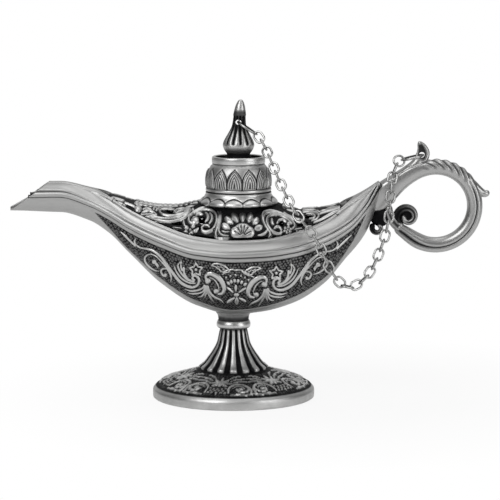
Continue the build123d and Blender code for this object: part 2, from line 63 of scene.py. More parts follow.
from contextlib import contextmanager

import bmesh
import bpy
import numpy as np
from mathutils import Matrix, Vector

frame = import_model()

# Lengths are millimetres until a mesh is written, and Blender's are metres
MM = 0.001

# Body, as the frame has it
SPOUT_REACH = 92.8
STERN_REACH = 60.4
HALF_WIDTH = 27.5
SEAM_HEIGHT = 61.9
BOWL_DEPTH = 28.7
SPOUT_RISE = 23.1
STERN_RISE = 29.0
CROWN_HEIGHT = 20.1
SHELL_WALL = 1.5
MOUTH_LOW = 78.3
MOUTH_SLANT = math.radians(36.9)
LID_AXIS = 2.1

# Hull stations, spout first. Shares: place along the reach, half width, rise of the seam, depth,
# the band's inner edge across and up, and the crest
SPOUT_STATION_SHARES = (
    (1.040, 0.150, 0.900, 0.150, 0.250, 0.350, 0.385),
    (0.916, 0.204, 0.961, 0.206, 0.250, 0.290, 0.323),
    (0.776, 0.240, 0.978, 0.237, 0.250, 0.275, 0.308),
    (0.646, 0.309, 0.835, 0.240, 0.300, 0.320, 0.353),
    (0.560, 0.407, 0.680, 0.289, 0.600, 0.370, 0.428),
    (0.460, 0.545, 0.455, 0.430, 0.800, 0.375, 0.560),
    (0.323, 0.745, 0.229, 0.672, 0.840, 0.358, 0.697),
    (0.162, 0.927, 0.043, 0.845, 0.840, 0.340, 0.900),
    (0.000, 1.000, 0.000, 0.940, 0.840, 0.318, 1.000),
)
STERN_STATION_SHARES = (
    (0.199, 0.982, 0.014, 0.912, 0.840, 0.318, 0.970),
    (0.414, 0.855, 0.059, 0.829, 0.840, 0.378, 0.786),
    (0.629, 0.618, 0.183, 0.665, 0.840, 0.428, 0.647),
    (0.795, 0.382, 0.355, 0.430, 0.700, 0.500, 0.557),
    (0.911, 0.247, 0.603, 0.360, 0.450, 0.350, 0.392),
    (0.997, 0.116, 0.900, 0.210, 0.300, 0.110, 0.140),
)

# Columns of the station table
HALF, SEAM, DEPTH, EDGE_ACROSS, EDGE_UP, CREST = range(1, 7)

# Where the meshes of bowl and rim start and end: past the mouth, which is cut later, and at the stern
HULL_START = -96.5
HULL_END = 60.2

# Front view: where the design of the carving is laid out, in millimetres on the lamp's middle plane
VIEW_DISTANCE = 1110.0
VIEW_X = 6.875
VIEW_HEIGHT = 61.7
VIEW_TILT = math.radians(7.678)


def hull_curves():
    """The hull's station values against x."""
    rows = []
    for reach, rise, table in (
        (-SPOUT_REACH, SPOUT_RISE, SPOUT_STATION_SHARES),
        (STERN_REACH, STERN_RISE, STERN_STATION_SHARES),
    ):
        for along, wide, up, deep, edge, edge_up, crest_up in table:
            width = wide * HALF_WIDTH
            seam = SEAM_HEIGHT + up * rise
            rows.append(
                (
                    along * reach,
                    width,
                    seam,
                    deep * BOWL_DEPTH,
                    edge * width,
                    seam + edge_up * CROWN_HEIGHT,
                    seam + crest_up * CROWN_HEIGHT,
                )
            )
    return np.array(rows)


HULL = hull_curves()


def smooth_curve(x, xs, ys):
    """A smooth curve through the stations that doesn't overshoot between them."""
    steps = np.diff(xs)
    slopes = np.diff(ys) / steps
    tangents = np.zeros(len(xs))
    before, after = slopes[:-1], slopes[1:]
    same = before * after > 0
    weight = steps[:-1] + 2 * steps[1:], 2 * steps[:-1] + steps[1:]
    with np.errstate(divide="ignore", invalid="ignore"):
        mean = (weight[0] + weight[1]) / (weight[0] / before + weight[1] / after)
    tangents[1:-1] = np.where(same, mean, 0.0)
    tangents[0], tangents[-1] = slopes[0], slopes[-1]
    x = np.clip(x, xs[0], xs[-1])
    i = np.clip(np.searchsorted(xs, x, side="right") - 1, 0, len(steps) - 1)
    h = steps[i]
    t = (x - xs[i]) / h
    return (
        ys[i] * (1 + 2 * t) * (1 - t) ** 2
        + tangents[i] * h * t * (1 - t) ** 2
        + ys[i + 1] * t * t * (3 - 2 * t)
        + tangents[i + 1] * h * t * t * (t - 1)
    )


def hull(x, column):
    """One station value of the hull at x, by its column."""
    return smooth_curve(np.asarray(x, float), HULL[:, 0], HULL[:, column])


def blend_step(x, low, high):
    """Runs smoothly from 0 at low to 1 at high."""
    t = np.clip((x - low) / (high - low), 0, 1)
    return t * t * (3 - 2 * t)


def between(x, rise, fall):
    """Runs from 0 to 1 over the first span and back to 0 over the second."""
    return blend_step(x, *rise) * (1 - blend_step(x, *fall))


def mound(x, middle, width):
    """A smooth mound of height 1: a line, a groove or a bead."""
    return np.exp(-((x - middle) / width) ** 2)


def front_view(points):
    """Where points on the near side show in the front view. The far side is mirrored."""
    x, y, z = points[:, 0], -np.abs(points[:, 1]), points[:, 2]
    lift = VIEW_DISTANCE * math.sin(VIEW_TILT)
    back = VIEW_DISTANCE * math.cos(VIEW_TILT)
    dy, dz = y + back, z - VIEW_HEIGHT - lift
    depth = dy * math.cos(VIEW_TILT) - dz * math.sin(VIEW_TILT)
    up = dy * math.sin(VIEW_TILT) + dz * math.cos(VIEW_TILT)
    return (
        VIEW_X + (x - VIEW_X) / depth * VIEW_DISTANCE,
        VIEW_HEIGHT + up / depth * VIEW_DISTANCE / math.cos(VIEW_TILT),
    )


def curve_through(points, spacing=0.15, closed=False):
    """Points along a smooth curve through given points; extra columns run along with it."""
    rows = np.asarray(points, float)
    if closed:
        rows = np.vstack([rows[-1:], rows, rows[:2]])
    else:
        rows = np.vstack([2 * rows[0] - rows[1], rows, 2 * rows[-1] - rows[-2]])
    pieces = []
    for a, b, c, d in zip(rows, rows[1:], rows[2:], rows[3:]):
        count = max(2, int(np.linalg.norm((c - b)[:2]) / spacing))
        t = (np.arange(count) / count)[:, None]
        pieces.append(
            0.5
            * (
                2 * b
                + (c - a) * t
                + (2 * a - 5 * b + 4 * c - d) * t ** 2
                + (3 * b - a - 3 * c + d) * t ** 3
            )
        )
    if not closed:
        pieces.append(rows[-2:-1])
    return np.vstack(pieces)


class Carving:
    """A carved design on a flat sheet: heights in millimetres over the ground."""

    def __init__(self, low, high, step=0.12):
        self.low = np.array(low, float)
        self.step = step
        size = np.ceil((np.array(high) - self.low) / step).astype(int) + 1
        self.height = np.zeros((size[1], size[0]))

    def patch(self, x, y, reach):
        """The cells near a point, with their offsets from it."""
        column, row = (np.array([x, y]) - self.low) / self.step
        r = reach / self.step + 1
        rows, columns = self.height.shape
        c0, c1 = max(0, int(column - r)), min(columns, int(column + r) + 2)
        r0, r1 = max(0, int(row - r)), min(rows, int(row + r) + 2)
        if c0 >= c1 or r0 >= r1:
            return None
        dx = (np.arange(c0, c1) - column) * self.step
        dy = (np.arange(r0, r1) - row) * self.step
        return self.height[r0:r1, c0:c1], dx[None, :], dy[:, None]

    def dot(self, x, y, radius, height, squash=1.0, turn=0.0):
        """A round or oval bead."""
        found = self.patch(x, y, radius * max(1, squash))
        if found is None:
            return
        cells, dx, dy = found
        c, s = math.cos(turn), math.sin(turn)
        along, across = dx * c + dy * s, dy * c - dx * s
        share = 1 - (along / (radius * squash)) ** 2 - (across / radius) ** 2
        np.maximum(cells, height * np.sqrt(np.maximum(share, 0)), out=cells)

    def scratch(self, points, width, level, depth):
        """A line cut down into raised shapes of about one level."""
        for x, y in curve_through(points)[:, :2]:
            found = self.patch(x, y, width)
            if found is None:
                continue
            cells, dx, dy = found
            share = 1 - (dx ** 2 + dy ** 2) / width ** 2
            floor = np.where(share > 0, level * (1 - depth * np.sqrt(np.maximum(share, 0))), 9.0)
            np.minimum(cells, floor, out=cells)

    def cord(self, points, width, height, thin_start=1.0, thin_end=1.0, closed=False):
        """A rounded ridge along a curve. Its half width can thin towards its ends."""
        path = curve_through(points, closed=closed)
        t = np.linspace(0, 1, len(path))
        start = thin_start + (1 - thin_start) * np.clip(t / 0.35, 0, 1)
        end = thin_end + (1 - thin_end) * np.clip((1 - t) / 0.35, 0, 1)
        scale = np.minimum(start, end) if not closed else np.ones(len(path))
        for (x, y), k in zip(path[:, :2], scale):
            self.dot(x, y, width * k, height * (0.6 + 0.4 * k))

    def sample(self, x, y):
        """Heights at places on the sheet, smoothly between cells."""
        rows, columns = self.height.shape
        c = np.clip((x - self.low[0]) / self.step, 0, columns - 1.001)
        r = np.clip((y - self.low[1]) / self.step, 0, rows - 1.001)
        c0, r0 = c.astype(int), r.astype(int)
        fc, fr = c - c0, r - r0
        h = self.height
        return (
            h[r0, c0] * (1 - fc) * (1 - fr)
            + h[r0, c0 + 1] * fc * (1 - fr)
            + h[r0 + 1, c0] * (1 - fc) * fr
            + h[r0 + 1, c0 + 1] * fc * fr
        )

    def blurred(self, reach):
        """Heights averaged over a square, as a new sheet."""
        n = max(1, int(reach / self.step))
        total = np.pad(self.height, ((n + 1, n), (n + 1, n)), mode="edge").cumsum(0).cumsum(1)
        size = 2 * n + 1
        copy = Carving.__new__(Carving)
        copy.low, copy.step = self.low, self.step
        copy.height = (
            total[size:, size:] - total[:-size, size:] - total[size:, :-size] + total[:-size, :-size]
        ) / size ** 2
        return copy


@contextmanager
def shaping(mesh):
    """Opens a mesh for bmesh operators and writes the result back to it."""
    bm = bmesh.new()
    bm.from_mesh(mesh)
    yield bm
    bm.to_mesh(mesh)
    bm.free()


def grid_mesh(name, columns, rows, place):
    """A grid mesh whose points and marks come from a function of two shares from 0 to 1."""
    mesh = bpy.data.meshes.new(name)
    with shaping(mesh) as bm:
        bmesh.ops.create_grid(bm, x_segments=columns, y_segments=rows, size=1.0)
    flat = np.empty(len(mesh.vertices) * 3, np.float32)
    mesh.vertices.foreach_get("co", flat)
    u = (flat[0::3].astype(float) + 1) / 2
    v = (flat[1::3].astype(float) + 1) / 2
    points, marks = place(u, v)
    mesh.vertices.foreach_set("co", (points * MM).astype(np.float32).ravel())
    for mark, values in marks.items():
        layer = mesh.attributes.new(mark, "FLOAT", "POINT")
        layer.data.foreach_set("value", np.asarray(values, np.float32))
    return mesh


def tidy_mesh(mesh, hole_mark=None, cap_ends=False, outward_from=None):
    """Closes seams and poles, cuts marked holes, and turns the faces outwards."""
    with shaping(mesh) as bm:
        if hole_mark:
            layer = bm.verts.layers.float[hole_mark]
            gone = [f for f in bm.faces if sum(v[layer] for v in f.verts) < 0]
            bmesh.ops.delete(bm, geom=gone, context="FACES")
        bmesh.ops.remove_doubles(bm, verts=bm.verts, dist=2e-6)
        bmesh.ops.dissolve_degenerate(bm, edges=bm.edges, dist=1e-7)
        if cap_ends:
            bmesh.ops.holes_fill(bm, edges=[e for e in bm.edges if e.is_boundary], sides=0)
        bmesh.ops.recalc_face_normals(bm, faces=bm.faces)
        if outward_from is not None:
            centre = Vector(outward_from) * MM
            turned = sum(
                (f.calc_center_median() - centre).dot(f.normal) * f.calc_area() for f in bm.faces
            )
            if turned < 0:
                bmesh.ops.reverse_faces(bm, faces=bm.faces)
        for face in bm.faces:
            face.smooth = True
    return mesh


def put_in_scene(item):
    """Links an object to the scene."""
    bpy.context.scene.collection.objects.link(item)


def finish_piece(name, mesh, material, body, replaced, wall=0.0):
    """Makes the object, gives it its wall and finish, and joins it to its body."""
    piece = bpy.data.objects.new(name, mesh)
    put_in_scene(piece)
    piece.data.materials.append(material)
    if wall:
        shell = piece.modifiers.new("Wall", "SOLIDIFY")
        shell.thickness = wall * MM
        shell.offset = -1.0
        shell.use_even_offset = False
        shell.use_rim = True
    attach(piece, body)
    if replaced:
        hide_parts(*replaced)
    return piece


def join_meshes(name, meshes):
    """Several meshes as one."""
    joined = bpy.data.meshes.new(name)
    with shaping(joined) as bm:
        for mesh in meshes:
            bm.from_mesh(mesh)
            bpy.data.meshes.remove(mesh)
    return joined


# Finishes


def group_sockets(group, inputs, outputs):
    """Named inputs and outputs of a shader node group."""
    for name, kind, default in inputs:
        socket = group.interface.new_socket(name, in_out="INPUT", socket_type=kind)
        socket.default_value = default
    for name, kind in outputs:
        group.interface.new_socket(name, in_out="OUTPUT", socket_type=kind)


def add_node(tree, kind, x=0, y=0, **values):
    """A node with its settings; names of inputs given as a dict under inputs."""
    node = tree.nodes.new(kind)
    node.location = (x, y)
    inputs = values.pop("inputs", {})
    for key, value in values.items():
        setattr(node, key, value)
    for key, value in inputs.items():
        node.inputs[key].default_value = value
    return node


def add_math(tree, operation, x, y, **values):
    """A Math node."""
    return add_node(tree, "ShaderNodeMath", x, y, operation=operation, **values)


def add_range(tree, x, y, source=(0.0, 1.0), result=(0.0, 1.0), **values):
    """A Map Range node that takes one span of values to another."""
    node = add_node(tree, "ShaderNodeMapRange", x, y, **values)
    for socket, value in zip(node.inputs[1:5], (*source, *result)):
        socket.default_value = value
    return node


def connect(tree, *joins):
    """Links, each given as from node, its output, to node, its input."""
    for source, leaving, target, entering in joins:
        tree.links.new(source.outputs[leaving], target.inputs[entering])


def antiquing_group():
    """Silver worn bright on what stands out and left dark in the hollows."""
    group = bpy.data.node_groups.new("Antiqued Silver", "ShaderNodeTree")
    group_sockets(
        group,
        (
            ("Tone", "NodeSocketFloat", 1.0),
            ("Grime", "NodeSocketFloat", 0.3),
            ("Dark", "NodeSocketColor", (0.012, 0.012, 0.013, 1)),
            ("Bright", "NodeSocketColor", (0.66, 0.66, 0.655, 1)),
            ("Smooth", "NodeSocketFloat", 0.3),
        ),
        (("Color", "NodeSocketColor"), ("Roughness", "NodeSocketFloat"), ("Height", "NodeSocketFloat")),
    )
    start = add_node(group, "NodeGroupInput", -900, 0)
    end = add_node(group, "NodeGroupOutput", 900, 0)
    place = add_node(group, "ShaderNodeTexCoord", -900, -300)
    cloud = add_node(
        group, "ShaderNodeTexNoise", -650, -200, inputs={"Scale": 260.0, "Detail": 6.0, "Roughness": 0.6}
    )
    speck = add_node(group, "ShaderNodeTexNoise", -650, -450, inputs={"Scale": 2200.0, "Detail": 3.0})
    shift = add_math(group, "SUBTRACT", -420, -200, inputs={1: 0.5})
    amount = add_math(group, "MULTIPLY", -240, -150)
    tone = add_math(group, "ADD", -60, 0, use_clamp=True)
    ramp = add_range(group, 120, 60, interpolation_type="SMOOTHSTEP")
    mix = add_node(group, "ShaderNodeMix", 320, 100, data_type="RGBA")
    rough = add_range(group, 320, -150, result=(0.62, 1.0))
    speck_rough = add_math(group, "MULTIPLY_ADD", 520, -250, inputs={1: 0.10})
    height = add_math(group, "MULTIPLY", 520, -420, inputs={1: 0.00002})
    connect(
        group,
        (place, "Object", cloud, "Vector"),
        (place, "Object", speck, "Vector"),
        (cloud, "Fac", shift, 0),
        (shift, 0, amount, 0),
        (start, "Grime", amount, 1),
        (start, "Tone", tone, 0),
        (amount, 0, tone, 1),
        (tone, 0, ramp, "Value"),
        (ramp, 0, mix, "Factor"),
        (start, "Dark", mix, "A"),
        (start, "Bright", mix, "B"),
        (ramp, 0, rough, "Value"),
        (start, "Smooth", rough, 4),
        (speck, "Fac", speck_rough, 0),
        (rough, 0, speck_rough, 2),
        (speck, "Fac", height, 0),
        (mix, "Result", end, "Color"),
        (speck_rough, 0, end, "Roughness"),
        (height, 0, end, "Height"),
    )
    return group


def brushing_group():
    """Fine polishing lines that run along one direction of the piece."""
    group = bpy.data.node_groups.new("Polishing Lines", "ShaderNodeTree")
    group_sockets(
        group,
        (("Stretch", "NodeSocketVector", (60.0, 2500.0, 2500.0)), ("Depth", "NodeSocketFloat", 0.000004)),
        (("Height", "NodeSocketFloat"), ("Shade", "NodeSocketFloat")),
    )
    start = add_node(group, "NodeGroupInput", -700, 0)
    end = add_node(group, "NodeGroupOutput", 500, 0)
    place = add_node(group, "ShaderNodeTexCoord", -700, -300)
    scale = add_node(group, "ShaderNodeVectorMath", -480, -150, operation="MULTIPLY")
    lines = add_node(
        group, "ShaderNodeTexNoise", -260, -150, inputs={"Scale": 1.0, "Detail": 4.0, "Roughness": 0.65}
    )
    height = add_math(group, "MULTIPLY", 0, -50)
    connect(
        group,
        (place, "Object", scale, 0),
        (start, "Stretch", scale, 1),
        (scale, 0, lines, "Vector"),
        (lines, "Fac", height, 0),
        (start, "Depth", height, 1),
        (height, 0, end, "Height"),
        (lines, "Fac", end, "Shade"),
    )
    return group


def shared_group(name, maker):
    """A node group that is built once and then used again."""
    return bpy.data.node_groups.get(name) or maker()


def silver_material(name, bright, dark, grime, stretch=None, tone=None, smooth=0.30):
    """Antiqued silver: tone from the piece's mark or plain, with or without polishing lines."""
    material = bpy.data.materials.get(name)
    if material:
        return material
    material = bpy.data.materials.new(name)
    material.use_nodes = True
    tree = material.node_tree
    tree.nodes.clear()
    output = add_node(tree, "ShaderNodeOutputMaterial", 800, 0)
    metal = add_node(tree, "ShaderNodeBsdfPrincipled", 500, 0, inputs={"Metallic": 1.0})
    antique = add_node(tree, "ShaderNodeGroup", 0, 0)
    antique.node_tree = shared_group("Antiqued Silver", antiquing_group)
    antique.inputs["Grime"].default_value = grime
    antique.inputs["Dark"].default_value = (*dark, 1)
    antique.inputs["Bright"].default_value = (*bright, 1)
    antique.inputs["Smooth"].default_value = smooth
    bump = add_node(tree, "ShaderNodeBump", 250, -300, inputs={"Strength": 1.0, "Distance": 1.0})
    link = tree.links.new
    height = antique.outputs["Height"]
    if tone is None:
        mark = add_node(
            tree, "ShaderNodeAttribute", -700, 0, attribute_name="tone", attribute_type="GEOMETRY"
        )
        link(mark.outputs["Fac"], antique.inputs["Tone"])
    else:
        antique.inputs["Tone"].default_value = tone
    if stretch:
        lines = add_node(tree, "ShaderNodeGroup", -350, -450)
        lines.node_tree = shared_group("Polishing Lines", brushing_group)
        lines.inputs["Stretch"].default_value = stretch
        more = add_math(tree, "ADD", 60, -500)
        link(height, more.inputs[0])
        link(lines.outputs["Height"], more.inputs[1])
        height = more.outputs[0]
    link(height, bump.inputs["Height"])
    link(antique.outputs["Color"], metal.inputs["Base Color"])
    link(antique.outputs["Roughness"], metal.inputs["Roughness"])
    link(bump.outputs["Normal"], metal.inputs["Normal"])
    link(metal.outputs["BSDF"], output.inputs["Surface"])
    return material


# Design of the carving, drawn on grids laid over the front view


class Pen:
    """Draws on a carving in the units of a design grid, which can be mirrored or scaled."""

    def __init__(self, sheet, unit, origin, mirror_about=None, drop=0.0, rise=0.6, bold=1.0):
        self.sheet = sheet
        self.unit = unit
        self.origin = origin
        self.mirror_about = mirror_about
        self.drop = drop
        self.rise = rise
        self.bold = bold

    def at(self, x, y):
        """A grid place on the sheet."""
        across = self.origin[0] + self.unit * x
        if self.mirror_about is not None:
            across = 2 * self.mirror_about - across
        return across, self.origin[1] - self.unit * (y + self.drop)

    def line(self, points, width, rise=1.0, start=1.0, end=1.0, closed=False):
        """A raised line, its half width in grid units."""
        reach = width * self.unit * self.bold
        self.sheet.cord([self.at(*p) for p in points], reach, self.rise * rise, start, end, closed)

    def ball(self, x, y, radius, rise=1.0, squash=1.0, turn=0.0):
        """A bead."""
        if self.mirror_about is not None:
            turn = -turn
        self.sheet.dot(*self.at(x, y), radius * self.unit, self.rise * rise, squash, math.radians(turn))

    def petal(self, start, end, width, rise=1.0):
        """A petal from one place to another, widest past its middle."""
        (x0, y0), (x1, y1) = self.at(*start), self.at(*end)
        for t in np.linspace(0, 1, 18):
            r = width * self.unit * (0.3 + 0.7 * math.sin(math.pi * (0.12 + 0.76 * t) ** 1.3))
            self.sheet.dot(x0 + (x1 - x0) * t, y0 + (y1 - y0) * t, r, self.rise * rise)

    def cut(self, points, width, depth):
        """A groove cut down from the raised shapes."""
        self.sheet.scratch([self.at(*p) for p in points], width * self.unit, self.rise, depth)


def draw_c_scroll(pen):
    """A stout C-shaped scroll with a bead at each end and a thin line inside."""
    path = [
        (338, 520), (335, 480), (362, 452), (410, 450), (470, 478), (522, 522), (560, 585), (576, 650),
        (552, 705), (500, 716),
    ]
    rows = curve_through([pen.at(*p) for p in path])
    t = np.linspace(0, 1, len(rows))
    widths = (12 + 20 * np.sin(math.pi * t) ** 0.8) * pen.unit
    for (x, y), width in zip(rows, widths):
        pen.sheet.dot(x, y, width, pen.rise)
    pen.line([(388, 500), (432, 516), (474, 560), (500, 615), (508, 672)], 8, 0.75, 0.5, 0.6)
    pen.ball(362, 545, 38, 1.15)
    pen.ball(470, 682, 34, 1.15)


def draw_sprays(pen):
    """Long thin leaves that fan out below the scroll."""
    for points, width in (
        ([(318, 600), (290, 640), (225, 668), (150, 676), (66, 655)], 13),
        ([(322, 620), (300, 680), (240, 706), (160, 712), (96, 700)], 11),
        ([(330, 610), (322, 690), (290, 742), (235, 760)], 13),
        ([(340, 610), (342, 700), (322, 770)], 13),
        ([(352, 610), (366, 700), (402, 770), (446, 832)], 12),
        ([(362, 615), (392, 700), (450, 758), (530, 796), (568, 834)], 14),
        ([(372, 650), (412, 730), (470, 775)], 9),
    ):
        pen.line(points, width, 0.9, 0.8, 0.25)


def draw_fan(pen):
    """A fan with a scalloped edge, a row of beads and a row of short petals."""
    edge = [
        (555, 456), (592, 432), (630, 424), (652, 396), (690, 390), (722, 402), (760, 396), (800, 400),
        (826, 426), (866, 436), (902, 462), (958, 492),
    ]
    pen.line(edge, 10, 0.9, 0.6, 0.6)
    for x, y in ((600, 497), (658, 477), (725, 464), (793, 475), (846, 500), (892, 530)):
        pen.ball(x, y, 13, 0.9)
    for x, y, turn in (
        (630, 574, -35), (668, 552, -22), (712, 540, -8), (757, 545, 8), (803, 562, 24), (846, 590, 38)
    ):
        pen.ball(x, y, 19, 1.0, 1.5, 90 - turn)


def draw_daisy(pen):
    """A flower with three petals up, a knob and three petals down."""
    pen.petal((727, 676), (727, 604), 20)
    pen.petal((692, 692), (612, 628), 15)
    pen.petal((768, 690), (852, 638), 16)
    pen.ball(735, 728, 28, 1.1, 1.25)
    pen.petal((705, 768), (622, 824), 22)
    pen.petal((738, 766), (738, 838), 26)
    pen.petal((772, 768), (852, 812), 18)


def draw_serrated_leaf(pen):
    """A leaf with a smooth upper edge, a toothed lower edge and short veins."""
    pen.line([(410, 331), (448, 314), (516, 317), (580, 346), (634, 390)], 12, 0.95, 0.5, 0.7)
    lower = [
        (412, 334), (450, 350), (474, 358), (486, 378), (510, 384), (524, 408), (546, 418), (572, 424),
        (632, 392),
    ]
    pen.line(lower, 9, 0.85)
    for points in (
        [(480, 336), (500, 354), (530, 360)], [(530, 342), (548, 366), (580, 376)], [(556, 392), (600, 398)]
    ):
        pen.line(points, 7, 0.8, 0.5, 0.5)


def draw_star(pen, x, y, turn, radius=88.0):
    """A five-pointed flower drawn in outline, with a bead in it."""
    points = []
    for i in range(10):
        angle = math.radians(turn + 36 * i)
        reach = radius if i % 2 == 0 else radius * 0.56
        points.append((x + reach * math.cos(angle), y - reach * math.sin(angle)))
    for a, b in zip(points, points[1:] + points[:1]):
        middle = ((a[0] + b[0]) / 2, (a[1] + b[1]) / 2)
        pen.line([a, middle, b], 11, 0.95)
    pen.ball(x, y, 20, 1.0)


def draw_vine(pen):
    """The long S-shaped vine at each end, with its spirals, flames and eye-shaped leaf."""
    vine = [
        (388, 640), (396, 690), (440, 738), (500, 762), (560, 770), (640, 792), (720, 836), (800, 905),
        (860, 985), (915, 1065), (1000, 1180), (1080, 1280), (1180, 1352), (1290, 1382), (1368, 1345),
        (1392, 1272), (1362, 1212), (1312, 1198), (1288, 1236), (1314, 1266),
    ]
    pen.line(vine, 20, 1.0, 0.4, 0.8)
    pen.line([(168, 508), (238, 572), (330, 662), (392, 724)], 15, 0.9, 0.4, 0.9)
    pen.line([(392, 700), (382, 652), (402, 606)], 11, 0.8, 0.9, 0.4)
    pen.line([(640, 856), (715, 888), (790, 958), (858, 1038), (905, 1085), (985, 1180)], 11, 0.8, 0.6, 0.4)
    pen.line(
        [(1000, 1040), (1032, 1122), (1092, 1212), (1164, 1272), (1250, 1312), (1330, 1318)], 13, 0.85, 0.4,
        0.7,
    )
    pen.line(
        [(1112, 962), (1062, 1030), (1082, 1108), (1140, 1192), (1215, 1262), (1300, 1296)], 14, 0.9, 0.5,
        0.7,
    )
    pen.line(
        [(1112, 962), (1106, 1040), (1128, 1112), (1152, 1078), (1160, 1160), (1212, 1242), (1310, 1292)],
        14, 0.9, 0.5, 0.7,
    )
    eye = [(640, 852), (578, 874), (544, 928), (562, 1000), (618, 1062), (690, 1110), (760, 1130)]
    pen.line(eye, 13, 0.85, 0.6, 0.4)
    pen.ball(690, 978, 36, 0.9)
    pen.line([(700, 990), (738, 1030), (748, 1072)], 18, 0.8, 0.9, 0.3)
    pen.line([(880, 1082), (824, 1090), (800, 1134), (826, 1190), (872, 1204)], 13, 0.9)
    pen.line([(890, 1084), (932, 1152), (960, 1232), (946, 1296)], 13, 0.9, 0.9, 0.4)
    pen.ball(866, 1188, 26, 0.9)


def mirrored_pens(sheet, unit, origin, middle, drop, rise, bold):
    """A pen for the left half of a design and one for the same half mirrored."""
    plain = Pen(sheet, unit, origin, None, 0.0, rise, bold)
    mirrored = Pen(sheet, unit, origin, middle, drop, rise, bold)
    return plain, mirrored


# The two grids that the bowl's design was laid out on, and the line it mirrors about
SCROLL_UNIT = 0.0320
SCROLL_ORIGIN = (-22.3, 65.9)
VINE_UNIT = 0.0267
VINE_ORIGIN = (-51.5, 82.7)
BOWL_MIDDLE = 1.1


def draw_bowl(rise):
    """The bowl's whole carved design on a front-view sheet."""
    sheet = Carving((-66.0, 30.0), (64.0, 92.0), 0.1)
    for pen in mirrored_pens(sheet, SCROLL_UNIT, SCROLL_ORIGIN, BOWL_MIDDLE, 45.0, rise, 1.08):
        draw_c_scroll(pen)
        draw_sprays(pen)
        draw_serrated_leaf(pen)
        draw_star(pen, 208, 395, 20.0)
    centre = Pen(sheet, SCROLL_UNIT, SCROLL_ORIGIN, None, 0.0, rise, 1.1)
    draw_fan(centre)
    draw_daisy(centre)
    for pen in mirrored_pens(sheet, VINE_UNIT, VINE_ORIGIN, BOWL_MIDDLE, 45.0, rise, 1.2):
        draw_vine(pen)
    return sheet


def grains(x, y, pitch):
    """Round grains in staggered, slightly uneven rows: 1 on a grain's top, 0 in the seams."""
    tall = pitch * 0.87
    row = np.floor(y / tall)
    best = np.zeros(len(x))
    for up in (-1, 0, 1):
        r = row + up
        shift = 0.5 * (r % 2)
        column = np.floor(x / pitch - shift)
        for beside in (-1, 0, 1):
            c = column + beside
            wobble = np.sin(c * 12.99 + r * 78.23) * 43.76 % 1.0 - 0.5
            wave = np.sin(c * 39.35 + r * 11.13) * 27.17 % 1.0 - 0.5
            dx = x / pitch - (c + shift + 0.5 + 0.4 * wobble)
            dy = (y / tall - (r + 0.5 + 0.4 * wave)) * 0.87
            best = np.maximum(best, 1 - (dx * dx + dy * dy) / (0.46 + 0.14 * wobble) ** 2)
    return np.sqrt(best)


def tones(sheet, x, y, rise, plain=0.34):
    """How bright each place is: tops worn bright, the foot of each form darkened as tarnish and painted
    shade.
    """
    height = sheet.sample(x, y) / rise
    near = sheet.blurred(0.45).sample(x, y) / rise
    top = blend_step(height, 0.12, 0.5)
    shade = np.clip(near * 1.7, 0, 1) * (1 - top)
    tone = plain * (1 - shade) + (1 - plain * (1 - shade)) * top - 0.05 * shade
    return height * rise, np.clip(tone, 0, 1), 1 - blend_step(height, 0.05, 0.35)


# Bowl


def bowl_place(x, angle, inset):
    """A point of the bowl's outside: angle from the near seam round the keel, set in by a depth."""
    width, seam, depth = hull(x, HALF), hull(x, SEAM), hull(x, DEPTH)
    normal_y, normal_z = -np.cos(angle) * depth, -np.sin(angle) * width
    size = np.maximum(np.hypot(normal_y, normal_z), 1e-6)
    return np.column_stack(
        [
            x,
            -width * np.cos(angle) - inset * normal_y / size,
            seam - depth * np.sin(angle) - inset * normal_z / size,
        ]
    )


# The carved panel: its ends, the plain gap round it in millimetres and radians, and its ground
PANEL_SPOUT_END = -60.0
PANEL_STERN_END = 57.0
PANEL_GAP = 0.6
PANEL_GAP_TURN = 0.012
PANEL_ROWS = 150
BACK_ROWS = 8
GRAIN_HEIGHT = 0.2
GRAIN_TONE = 0.36


def panel_angles(x, border):
    """The carved panel's upper and lower edges at x, as angles from the seam."""
    depth = hull(x, DEPTH)
    tip = between(x, (PANEL_SPOUT_END, -44.0), (41.0, PANEL_STERN_END))
    upper = np.arcsin(np.clip(border / depth, 0, 0.9))
    lower = np.radians(57.0 + 6.0 * mound(x, 0.0, 22.0)) * tip ** 0.6
    return upper, np.maximum(lower, upper + 0.02)


def make_bowl(border, recess):
    """The bowl's shell, with a shallow bed for the carved panel on each side."""

    def place(u, v):
        x = HULL_START + (HULL_END - HULL_START) * u
        angle = math.pi * v
        side = np.minimum(angle, math.pi - angle)
        upper, lower = panel_angles(x, border)
        inside = (x > PANEL_SPOUT_END) & (x < PANEL_STERN_END)
        depth = blend_step(side, upper - 0.005, upper + 0.03)
        depth = depth * (1 - blend_step(side, lower - 0.03, lower + 0.005))
        bed = recess * depth * inside * blend_step(x, PANEL_SPOUT_END, PANEL_SPOUT_END + 1.5)
        bed = bed * (1 - blend_step(x, PANEL_STERN_END - 1.5, PANEL_STERN_END))
        points = bowl_place(x, angle, bed)
        dark = 1 - 0.75 * np.clip(bed / recess, 0, 1)
        edge = 1 - 0.5 * (1 - blend_step(side, 0.0, 0.03))
        return points, {"tone": 0.93 * dark * edge}

    mesh = trim_mouth(grid_mesh("bowl", 320, 150, place))
    return tidy_mesh(mesh, outward_from=(0, 0, SEAM_HEIGHT))


def trim_mouth(mesh):
    """Cuts the spout off along the slanted plane of its mouth."""
    with shaping(mesh) as bm:
        bmesh.ops.bisect_plane(
            bm,
            geom=bm.verts[:] + bm.edges[:] + bm.faces[:],
            dist=1e-6,
            plane_co=(-SPOUT_REACH * MM, 0, MOUTH_LOW * MM),
            plane_no=(-math.sin(MOUTH_SLANT), 0, math.cos(MOUTH_SLANT)),
            clear_outer=True,
        )
    return mesh


